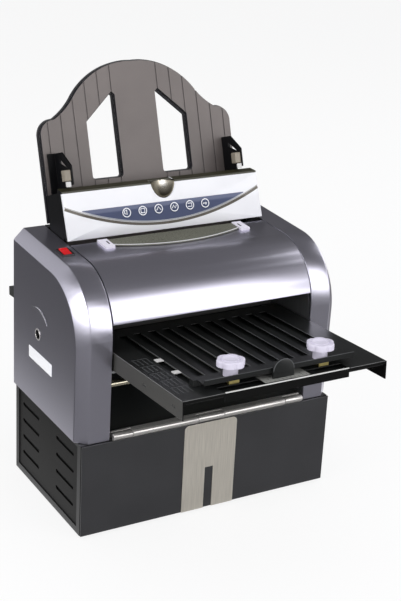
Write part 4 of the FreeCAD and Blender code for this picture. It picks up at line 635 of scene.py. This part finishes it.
# Where the scoop's painted highlight is brightest, and how far out it fades to dark.
scoop_highlight_at, scoop_highlight_reach = Vector((0.0030, 0.0035, 0.0540)), 0.0135
scoop_highlighted_bronze = highlighted_bronze("scoop_bronze_painted_highlight", panel_place @ scoop_highlight_at, scoop_highlight_reach)
points, faces = [], []
for ring in range(scoop_rings + 1):
    share = ring / scoop_rings
    for i in range(scoop_steps + 1):
        angle = math.pi * i / scoop_steps
        deep, low = scoop_deep * (1 - share ** 2), share * math.sin(angle)
        level_top = scoop_top + (deep + scoop_back) * lean_slope * (1 - low)
        points.append((share * scoop_half * math.cos(angle), deep, level_top - scoop_tall * low))
for ring in range(scoop_rings):
    for i in range(scoop_steps):
        a = ring * (scoop_steps + 1) + i
        faces.append((a, a + 1, a + scoop_steps + 2, a + scoop_steps + 1))
scoop = meshed("scoop_dish", points, faces, scoop_highlighted_bronze)
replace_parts(scoop, "thumb_scoop")
fixed(thickened(scoop, scoop_skin), panel_place, "machine", smooth=True)
lip_wide, lip_deep, lip_tall, lip_edge = 0.0007, 0.0085, 0.0004, 0.0001
scoop_lip = block("scoop_lip", lip_wide, lip_deep, lip_tall, lip_edge, hopper_white)
lip_place = Matrix.Translation((0.0146, 0.0062, 0.0592)) @ Matrix.Rotation(panel_lean, 4, "X")
fixed(scoop_lip, panel_place @ lip_place, "machine")

bronze = coated("stripe_bronze", (0.115, 0.100, 0.080), 0.35, lift=0.000002)
pale_line = coated("stripe_pale", (0.36, 0.35, 0.33), 0.35, vary=0.03)
panel_half, stripe_low, stripe_bend, stripe_steps, stripe_thick = 0.1288, 0.0074, 1.75, 48, 0.00015
for name, lift, wide, material in (("bronze_stripe", 0, 0.0032, bronze),
                                   ("pale_stripe", 0.0024, 0.0007, pale_line)):
    stripe_path = arch(panel_half, stripe_steps,
                       lambda across: stripe_low + lift + stripe_bend * across ** 2)
    stripe = bent_strip(name, stripe_path, wide, stripe_thick, material)
    fixed(stripe, panel_place @ upright, "machine")


# ---- Control label: a blue film with six round keys under it, each with a printed ring and sign.
# The signs are plain ones for start, stop and the four kinds of fold.

film_blue = coated("film_blue", (0.062, 0.079, 0.162), 0.34, vary=0.05, lift=0.000003)
dress(film_blue, "control_overlay")
key_blue = coated("key_blue", (0.056, 0.072, 0.145), 0.34, vary=0.04, lift=0.000003)
print_white = coated("print_white", (0.90, 0.91, 0.95), 0.4, vary=0.03)
film_grey = coated("film_edge", (0.45, 0.47, 0.52), 0.4, vary=0.04)

film_half, film_low, film_end, edge_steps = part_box("control_overlay")[1].x, 0.0103, 0.0312, 40
edge_in, edge_wide, film_face, print_thick = 0.0004, 0.0006, 0.0006, 0.00012
edge_path = arch(film_half, edge_steps, lambda across: (
    film_low + (film_end - film_low) * (across / film_half) ** 2 + edge_in))
film_rim = bent_strip("film_rim", edge_path, edge_wide, print_thick, film_grey)
fixed(film_rim, panel_place @ Matrix.Translation((0, -film_face, 0)) @ upright, "machine")

key_pitch, key_height, key_face = 0.021, 0.0245, 0.0013
ring_outer, ring_inner = 0.0055, 0.0045


def ring_sheet(name, outer, inner, thick, material, steps=40):
    """A thin flat ring in the xy plane, raised along z."""
    outline = [(inner, 0), (inner, thick), (outer, thick), (outer, 0), (inner, 0)]
    return turned(name, outline, material, steps)


key_signs = (
    ((-18, -6), (-18, 14), (2, 22), (2, -14), (-18, -6)),
    ((-16, -16), (16, -16), (16, 16), (-16, 16), (-16, -16)),
    ((-20, -12), (0, 16), (20, -12)),
    ((-20, -10), (-7, 14), (7, -10), (20, 14)),
    ((-18, 14), (16, 14), (16, -12), (-18, -12)),
    ((-20, 0), (12, 0), (2, 12), (12, 0), (2, -12)),
)
sign_unit, sign_line = 0.00015, 0.0010
for i, sign in enumerate(key_signs):
    name = f"key_{i + 1}"
    softened(name, 0.0004, key_blue)
    across = (i - (len(key_signs) - 1) / 2) * key_pitch
    face = panel_place @ Matrix.Translation((across, -key_face, key_height)) @ upright
    sign_path = [(x * sign_unit, y * sign_unit) for x, y in sign]
    for printed in (ring_sheet(name + "_ring", ring_outer, ring_inner, print_thick, print_white),
                    bent_strip(name + "_sign", sign_path, sign_line, print_thick, print_white)):
        fixed(printed, face, nodes[name]["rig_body"])


# ---- Paper tray: a ribbed grey moulding with two openings; a painted shade darkens its edges and groove walls.
# Two sliding guides of folded black sheet stand on it, each with a small separator block.

tray_grey = coated("tray_grey", (0.142, 0.121, 0.115), 0.46, vary=0.10, grain=1300, lift=0.00002)
tray_painted_shade = coated("tray_painted_shade", (0.013, 0.012, 0.016), 0.4, grain=1300)
tray_place = Matrix.Translation((0, 0.09552, 0.31595)) @ Matrix.Rotation(math.radians(-18.5), 4, "X")
tray_back = tray_place.to_3x3() @ Vector((0, 1, 0))
tray = softened("tray_plate", 0.0007, tray_grey)
# Faces that turn away from the front, the edges and groove walls, get the painted shade.
recoloured(tray, lambda face: abs(face.normal.dot(tray_back)) < 0.97, tray_painted_shade)


def place_rank(part):
    """Ranks a corner, edge or face by its place, so that every run keeps the same order."""
    return sum(v.co.x + 10 * v.co.y + 100 * v.co.z for v in getattr(part, "verts", [part]))


def kept(skin, name, material):
    """A new object from a skin that has been worked on."""
    mesh = bpy.data.meshes.new(name)
    skin.to_mesh(mesh)
    skin.free()
    mesh.materials.append(material)
    return linked(bpy.data.objects.new(name, mesh))


# A shallow rim stands out behind the tray along its outline and round its two openings, in the same
# painted shade.
rim_deep, rim_thick, rim_from, tray_thick, leeway = 0.0045, 0.0018, 0.004, 0.005, 0.0001
skin = bmesh.new()
skin.from_mesh(nodes["tray_plate"].data)
bmesh.ops.remove_doubles(skin, verts=skin.verts, dist=weld)
skin.transform(tray_place.inverted())
not_back = [f for f in skin.faces if f.calc_center_median().y < tray_thick - leeway]
bmesh.ops.delete(skin, geom=not_back, context="FACES")
bmesh.ops.bisect_plane(skin, geom=list(skin.verts) + list(skin.edges) + list(skin.faces),
                       plane_co=(0, 0, rim_from), plane_no=(0, 0, 1))
rims = [e for e in skin.edges
        if len(e.link_faces) == 1 and min(v.co.z for v in e.verts) > rim_from - leeway]
walls = bmesh.ops.extrude_edge_only(skin, edges=rims)["geom"]
wall_tops = [v for v in walls if isinstance(v, bmesh.types.BMVert)]
bmesh.ops.translate(skin, vec=(0, rim_deep, 0), verts=wall_tops)
bmesh.ops.delete(skin, geom=[f for f in skin.faces if abs(f.normal.y) > 0.5], context="FACES")
skin.transform(tray_place)
for parts in (skin.verts, skin.edges, skin.faces):
    parts.sort(key=place_rank)
tray_rim = kept(skin, "tray_rim", tray_painted_shade)
fixed(thickened(tray_rim, rim_thick), Matrix(), "machine")

for side in ("left", "right"):
    softened("side_guide_" + side, 0.0004, black_sheet)
block_tan = coated("block_tan", (0.27, 0.235, 0.185), 0.45, vary=0.15)
pad_white = coated("pad_white", (0.62, 0.61, 0.60), 0.4, vary=0.04)
pad_up, pad_front, pad_wide, pad_corner, pad_thick = 0.0465, 0.0432, 0.0060, 0.0008, 0.0012
for side, across in (("left", -0.1190), ("right", 0.1080)):
    name = "separator_block_" + side
    softened(name, 0.0012, block_tan)
    pad = rounded_sheet("separator_pad_" + side, pad_wide, pad_wide, pad_corner, pad_thick, pad_white)
    pad_place = tray_place @ Matrix.Translation((across, -pad_front, pad_up)) @ upright
    fixed(pad, pad_place, nodes[name]["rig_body"])


# ---- Front fold plate: a slotted upper sheet with deep flanges over a plain one, both painted black.
# A plated lip shows along its mouth, and a printed scale under the stop bar gives the fold length.

plate_black = coated("fold_plate_black", (0.013, 0.014, 0.014), 0.30, vary=0.25, grain=1600,
                     lift=0.000005)
# A lighter grey on the left flange's outer faces is painted light; a near black at the mouth and on the
# right flange's inner face is painted shade.
flange_painted_light = coated("flange_painted_light", (0.060, 0.059, 0.055), 0.36, grain=1600, lift=0.000005)
mouth_painted_shade = coated("mouth_painted_shade", (0.0025, 0.0025, 0.0025), 0.55, lift=0.000005)
for black, strength in ((mouth_painted_shade, 0.12), (plate_black, 0.38), (black_sheet, 0.15)):
    dulled(black, strength)
upper_sheet = softened("front_plate_upper", 0.0004, plate_black)
lower_sheet = softened("front_plate_lower", 0.0004, plate_black)


def takes_mouth_shade(face):
    """True for a face that takes the painted shade: one at the mouth, or the inner face of the right
    flange.
    """
    return face.normal.y < -0.9 or (face.normal.x < -0.9 and face.center.x > 0)


recoloured(upper_sheet, lambda face: face.normal.x < -0.9 and face.center.x < 0, flange_painted_light)
for sheet in (upper_sheet, lower_sheet):
    recoloured(sheet, takes_mouth_shade, mouth_painted_shade)
plate_slope = math.radians(3.6)
plate_place = Matrix.Translation((0, -0.22618, 0.23230)) @ Matrix.Rotation(-plate_slope, 4, "X")


def on_plate(across, back, up=0.0):
    """A place on the fold plate's upper face, x across and y back along its slope."""
    return plate_place @ Matrix.Translation((across, back, up))


def row_tree():
    """Geometry Nodes that repeat one piece over a grid, in steps of two directions."""
    tree = bpy.data.node_groups.new("grid_of_pieces", "GeometryNodeTree")
    for label, kind in (("Piece", "NodeSocketObject"), ("Count", "NodeSocketInt"),
                        ("Step", "NodeSocketVector"), ("Rows", "NodeSocketInt"),
                        ("Row step", "NodeSocketVector"), ("Finish", "NodeSocketMaterial")):
        tree.interface.new_socket(name=label, in_out="INPUT", socket_type=kind)
    tree.interface.new_socket(name="Pieces", in_out="OUTPUT", socket_type="NodeSocketGeometry")
    given = tree.nodes.new("NodeGroupInput")
    result = tree.nodes.new("NodeGroupOutput")

    def after(source, kind, socket="Geometry"):
        """A step of the tree, fed from the one before."""
        step = tree.nodes.new("GeometryNode" + kind)
        tree.links.new(source, step.inputs[socket])
        return step

    lines = []
    for count, step in (("Count", "Step"), ("Rows", "Row step")):
        line = after(given.outputs[count], "MeshLine", "Count")
        line.mode = "OFFSET"
        tree.links.new(given.outputs[step], line.inputs["Offset"])
        lines.append(line.outputs["Mesh"])
    grid = after(lines[1], "InstanceOnPoints", "Points")
    tree.links.new(lines[0], grid.inputs["Instance"])
    points = after(grid.outputs["Instances"], "RealizeInstances")
    piece = after(given.outputs["Piece"], "ObjectInfo", "Object")
    pieces = after(points.outputs["Geometry"], "InstanceOnPoints", "Points")
    tree.links.new(piece.outputs["Geometry"], pieces.inputs["Instance"])
    solid = after(pieces.outputs["Instances"], "RealizeInstances")
    finish = after(solid.outputs["Geometry"], "SetMaterial")
    tree.links.new(given.outputs["Finish"], finish.inputs["Material"])
    tree.links.new(finish.outputs["Geometry"], result.inputs["Pieces"])
    return tree


grid_of_pieces = row_tree()


def repeated(name, piece, material, count, step, rows=1, row_step=(0, 0, 0)):
    """One plain mesh of like pieces on a grid; the pattern piece itself is taken away."""
    holder = linked(bpy.data.objects.new(name, bpy.data.meshes.new(name)))
    maker = holder.modifiers.new("grid", "NODES")
    maker.node_group = grid_of_pieces
    values = {"Piece": piece, "Count": count, "Step": step, "Rows": rows, "Row step": row_step,
              "Finish": material}
    for socket in grid_of_pieces.interface.items_tree:
        if socket.name in values:
            maker[socket.identifier] = values[socket.name]
    plain(holder)
    bpy.data.objects.remove(piece)
    return holder


plate_pitch, plate_slot, slot_front, slot_back = 0.0187, 0.009, 0.036, 0.2014
slot_count, glint_wide, glint_short, glint_tall, glint_edge = 11, 0.0006, 0.012, 0.0002, 0.0001
# Thin grey strips along each slot's edge, the stop bar's fold and round the thumb tab are painted
# highlights.
painted_edge_highlight = coated("painted_edge_highlight", (0.13, 0.135, 0.14), 0.35, vary=0.2, grain=1200, lift=0.000002)
glint_long = slot_back - slot_front - glint_short
slot_glint = block("slot_bead", glint_wide, glint_long, glint_tall, glint_edge, painted_edge_highlight)
slot_glints = repeated("slot_edge_beads", slot_glint, painted_edge_highlight, slot_count, (plate_pitch, 0, 0))
glints_left = -(slot_count // 2) * plate_pitch + plate_slot / 2 + glint_wide / 2
fixed(slot_glints, on_plate(glints_left, (slot_front + slot_back) / 2), "front_plate")

fold_light = coated("fold_highlight", (0.22, 0.22, 0.22), 0.3, vary=0.1, lift=0.000002)
fold_tall, fold_edge = 0.0002, 0.00005
for name, wide, deep, across, back in (("flange_edge", 0.0006, 0.196, -0.1266, 0.100),
                                       ("front_edge_left", 0.048, 0.0006, -0.1022, 0.0005),
                                       ("front_edge_right", 0.048, 0.0006, 0.1022, 0.0005)):
    fold_line = block(name, wide, deep, fold_tall, fold_edge, fold_light)
    fixed(fold_line, on_plate(across, back), "front_plate")

lip_metal = brushed("plated_lip", (0.80, 0.80, 0.78), 0.3, "x", lift=0.000001, metal=0.3)
mouth_wide, mouth_deep, mouth_tall, mouth_edge = 0.154, 0.0013, 0.0011, 0.0003
mouth_lip = block("mouth_lip", mouth_wide, mouth_deep, mouth_tall, mouth_edge, lip_metal)
sunk = -0.0002
fixed(mouth_lip, on_plate(0, 0.0006, sunk), "front_plate")

scale_grey = brushed("scale_film", (0.34, 0.34, 0.32), 0.45, "x", metal=0.2, lift=0.000001)
scale_ink = coated("scale_ink", (0.01, 0.01, 0.01), 0.5)
scale_wide, scale_deep, scale_near, scale_thick, scale_corner = 0.056, 0.0225, 0.0045, 0.0002, 0.0006
scale = rounded_sheet("fold_scale", scale_wide, scale_deep, scale_corner, scale_thick, scale_grey)
fixed(scale, on_plate(0.002, scale_near + scale_deep / 2), "front_plate")
tick_first, tick_back, tick_count, tick_pitch = -0.023, 0.0028, 11, 0.005
tick_wide, tick_long, tick_tall, tick_edge = 0.0004, 0.0026, 0.0001, 0.00004
tick = block("scale_tick", tick_wide, tick_long, tick_tall, tick_edge, scale_ink)
ticks = repeated("scale_ticks", tick, scale_ink, tick_count, (tick_pitch, 0, 0))
fixed(ticks, on_plate(tick_first, scale_near + tick_back, scale_thick), "front_plate")


def figures(name, text, tall, material):
    """Flat printed figures in the xy plane, centred across the origin."""
    letters = bpy.data.curves.new(name, "FONT")
    letters.body = text
    letters.size = tall
    letters.align_x = "CENTER"
    item = linked(bpy.data.objects.new(name, letters))
    graph = bpy.context.evaluated_depsgraph_get()
    mesh = bpy.data.meshes.new_from_object(item.evaluated_get(graph))
    bpy.data.objects.remove(item)
    mesh.materials.clear()
    mesh.materials.append(material)
    return linked(bpy.data.objects.new(name, mesh))


figure_first, figure_pitch, figure_tall, figure_back, figure_up = -0.018, 0.010, 0.006, 0.0056, 0.0003
for step in range(5):
    number = figures(f"scale_number_{step}", str(step + 1), figure_tall, scale_ink)
    figure_place = on_plate(figure_first + figure_pitch * step, scale_near + figure_back, figure_up)
    fixed(number, figure_place, "front_plate")

# The chart of folds beside the slots is five rows of four bars, with a line over each row.
chart_grey = coated("chart_grey", (0.075, 0.078, 0.080), 0.45, vary=0.2)
chart_rows, chart_row, line_wide, ink_tall, ink_edge = 5, (0, 0.022, 0), 0.0009, 0.00012, 0.00005
bar = block("chart_bar", line_wide, 0.015, ink_tall, ink_edge, chart_grey)
bars = repeated("fold_chart", bar, chart_grey, 4, (0.0055, 0, 0), chart_rows, chart_row)
fixed(bars, on_plate(-0.1195, 0.028), "front_plate")
line = block("chart_line", 0.019, line_wide, ink_tall, ink_edge, chart_grey)
lines = repeated("fold_chart_lines", line, chart_grey, 1, (0, 0, 0), chart_rows, chart_row)
fixed(lines, on_plate(-0.1115, 0.0375), "front_plate")

slide_wide, slide_deep, slide_tall, slide_edge = 0.0085, 0.0075, 0.0012, 0.0004
for number, back in enumerate((0.074, 0.113)):
    slide = block(f"slide_pad_{number + 1}", slide_wide, slide_deep, slide_tall, slide_edge, pad_white)
    fixed(slide, on_plate(-0.0935, back, sunk), "front_plate")

rivet_dark = brushed("rivet_dark", (0.10, 0.10, 0.10), 0.4, "z")
rivet_outline = [(0, 0.0006), (0.0009, 0.0005), (0.0014, 0.0001), (0.0014, 0)]
flange_face, rivet_up, rivet_pitch, rivet_steps = -0.127, -0.0115, 0.0045, 16
for place, back in (("front", 0.0215), ("rear", 0.085)):
    rivet = turned("flange_rivet", rivet_outline, rivet_dark, rivet_steps)
    pair = repeated("flange_rivets_" + place, rivet, rivet_dark, 2, (rivet_pitch, 0, 0))
    fixed(pair, on_plate(flange_face, back, rivet_up) @ side_view, "front_plate",
          smooth=True)


# ---- Stop bar: a folded black steel bar with a round thumb tab, clamped by two screws.
# Sawn brass nuts run in the slots under it; the white knobs are moulded with six lobes.

softened("front_stop_bar", 0.00035, plate_black)
bar_wide, bar_fold, bar_back, bar_up = 0.186, 0.0007, 0.0153, 0.0111
# A painted highlight along the bar's top fold.
bar_glint = block("stop_bar_edge", bar_wide, bar_fold, fold_tall, fold_edge, painted_edge_highlight)
fixed(bar_glint, on_plate(0, bar_back, bar_up), "front_stop")
nut_brass = brushed("nut_brass", (0.72, 0.60, 0.24), 0.38, "x", vary=0.15)
softened("front_clamp_nuts", 0.0004, nut_brass)

# A painted highlight rings the thumb tab.
tab_half, tab_rise, tab_back, tab_steps, tab_glint_half = 0.013, 0.008, 0.0105, 32, 0.0003
tab_path = []
for i in range(tab_steps + 1):
    angle, reach = math.pi * i / tab_steps, tab_half - tab_glint_half
    tab_path.append((reach * math.cos(angle), tab_rise + reach * math.sin(angle)))
tab_glint = bent_strip("thumb_tab_rim", tab_path, 2 * tab_glint_half, fold_tall, painted_edge_highlight)
fixed(tab_glint, on_plate(0, tab_back) @ upright, "front_stop")

knob_white = coated("knob_white", (0.70, 0.665, 0.785), 0.34, vary=0.03, lift=0.000005)
lobe_place, lobe_round, knob_steps, sixth = 0.0075, 0.0081, 144, math.pi / 3

# Each ring of a knob: how far out it is, how high, and whether it follows the lobes. A ring that
# does gives its reach as a share of the outline, any other in metres.
knob_rings = ((0.0080, 0.0073, 0), (0.0080, 0.0172, 0), (0.0086, 0.0180, 0), (0.72, 0.0178, 1),
              (0.96, 0.0180, 1), (1.0, 0.0186, 1), (1.0, 0.0236, 1), (0.985, 0.0247, 1),
              (0.95, 0.0252, 1), (0.90, 0.0254, 1), (0.0108, 0.0254, 0), (0.0103, 0.0247, 0),
              (0.0098, 0.0247, 0), (0.0093, 0.0256, 0), (0.0086, 0.0257, 0), (0.0078, 0.0249, 0),
              (0.0060, 0.0243, 0), (0.0035, 0.0240, 0), (0.0012, 0.0239, 0))


def lobed(angle):
    """How far the outline of six round lobes is from the middle at an angle."""
    off = (angle + sixth / 2) % sixth - sixth / 2
    return lobe_place * math.cos(off) + math.sqrt(lobe_round ** 2 - (lobe_place * math.sin(off)) ** 2)


def lobed_knob(name, node, material, place):
    """A six-lobed knob: ring after ring from its shank out over the rim and in to a dished top."""
    points = []
    for reach, up, follows in knob_rings:
        points += ring_of_points(lambda a: lobed(a) * reach if follows else reach, up, knob_steps)
    top = (len(knob_rings) - 1) * knob_steps
    faces = ring_faces(len(knob_rings), knob_steps)
    faces += [tuple(range(knob_steps)), tuple(range(top, top + knob_steps))]
    knob = meshed(name, points, faces, material)
    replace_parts(knob, node)
    fixed(knob, place, nodes[node]["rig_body"], smooth=True)
    knob.data.set_sharp_from_angle(angle=math.radians(40))


knob_across, knob_back = 0.0561, 0.026
turn_to_front = Matrix.Rotation(math.radians(-8), 4, "Z")
lobed_knob("left_knob", "front_knob_left", knob_white, on_plate(-knob_across, knob_back) @ turn_to_front)
lobed_knob("right_knob", "front_knob_right", knob_white, on_plate(knob_across, knob_back))


# ---- Rear fold plate: the same black sheet work behind the machine, with its own stop and knob.
# Its knob is moulded in black, as it is hardly ever turned.

softened("rear_plate", 0.0004, plate_black)
softened("rear_stop_bar", 0.00035, plate_black)
knob_black = coated("knob_black", (0.003, 0.003, 0.004), 0.5)
rear_start = 0.05782
rear_place = Matrix.Translation((0, rear_start, 0.21040)) @ Matrix.Rotation(-plate_slope, 4, "X")
rear_low, rear_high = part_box("rear_knob")
rear_knob_back = ((rear_low + rear_high) / 2).y - rear_start
rear_knob_along = Matrix.Translation((0, rear_knob_back / math.cos(plate_slope), 0))
lobed_knob("rear_black_knob", "rear_knob", knob_black, rear_place @ rear_knob_along)


# ---- Frame and drive: zinc-plated side plates tied by bright rods, with brass bushes for the shafts.
# The fold rollers are ground rubber on steel shafts, the gears moulded nylon, the motor a steel can.

zinc = brushed("zinc_plate", (0.50, 0.51, 0.53), 0.42, "z")
dress(zinc, "frame_plate_left", "frame_plate_right")
dress(brushed("bright_rod", (0.86, 0.80, 0.62), 0.2, "x", lift=0.000001), "tie_rods")
dress(brushed("bush_brass", (0.62, 0.48, 0.22), 0.35, "x"), "bearing_bushes")
roller_black = coated("roller_rubber", (0.045, 0.044, 0.042), 0.7, grain=1000, lift=0.00003)
dress(roller_black, "fold_roller_1", "fold_roller_2", "fold_roller_3", "fold_roller_4")
dress(coated("feed_rubber", (0.30, 0.09, 0.06), 0.75, grain=1000, lift=0.00003), "feed_roller")
gear_nylon = coated("gear_nylon", (0.75, 0.72, 0.62), 0.5, vary=0.04, grain=1300)
dress(gear_nylon, "idler_gear", "jack_gear")
dress(brushed("pinion_steel", (0.6, 0.6, 0.6), 0.3, "x"), "motor_pinion")
dress(brushed("motor_can", (0.42, 0.42, 0.44), 0.4, "x"), "drive_motor")
dress(plate_black, "feed_floor", "exit_chute")


# ---- Rear covers: two black steel sheets over the works, each held by four pan-head screws.
# The heads are plated, domed and have a cross-shaped recess.

rear_black = coated("rear_cover_black", (0.022, 0.022, 0.024), 0.42)
softened("rear_cover_upper", 0.0004, rear_black)
softened("rear_cover_lower", 0.0004, rear_black)
screw_plating = brushed("screw_plating", (0.66, 0.66, 0.68), 0.28, "x")
head_radius, head_tall, head_steps = 0.0028, 0.0014, 32
dome_rings, recess_rings = ((1, 0), (1, 0.4), (0.9, 0.75), (0.72, 1)), ((1, 1), (0.9, 0.45))
slot_reach, slot_corner, slot_share = 0.5, 0.16, 0.9


def cross(angle):
    """How far a cross-shaped recess reaches at an angle, as a share of the head's radius."""
    return slot_reach if abs(math.cos(2 * angle)) > slot_share else slot_corner


def pan_head(name, radius, tall, material, steps):
    """A domed screw head on the xy plane with a cross-shaped recess in its top."""
    points = []
    for share, up in dome_rings:
        points += ring_of_points(lambda angle: share * radius, up * tall, steps)
    for share, up in recess_rings:
        points += ring_of_points(lambda angle: share * radius * cross(angle), up * tall, steps)
    rings = len(dome_rings) + len(recess_rings)
    faces = ring_faces(rings, steps)
    faces += [tuple(range(steps)), tuple(range((rings - 1) * steps, rings * steps))]
    return meshed(name, points, faces, material)


screw_across, screw_rear = 0.1175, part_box("cover_screws")[0].y
all_heads = bmesh.new()
for cover, first, step in (("lower", 0.127, 0.045), ("upper", 0.2335, 0.068)):
    head = pan_head("pan_head", head_radius, head_tall, screw_plating, head_steps)
    four = repeated("screws_" + cover, head, screw_plating, 2, (2 * screw_across, 0, 0), 2, (0, step, 0))
    four.data.transform(Matrix.Translation((-screw_across, first, 0)))
    all_heads.from_mesh(four.data)
    bpy.data.objects.remove(four)
screws = kept(all_heads, "cover_screw_heads", screw_plating)
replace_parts(screws, "cover_screws")
facing_back = Matrix(((-1, 0, 0, 0), (0, 0, 1, 0), (0, 1, 0, 0), (0, 0, 0, 1)))
fixed(screws, Matrix.Translation((0, screw_rear, 0)) @ facing_back, nodes["cover_screws"]["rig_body"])
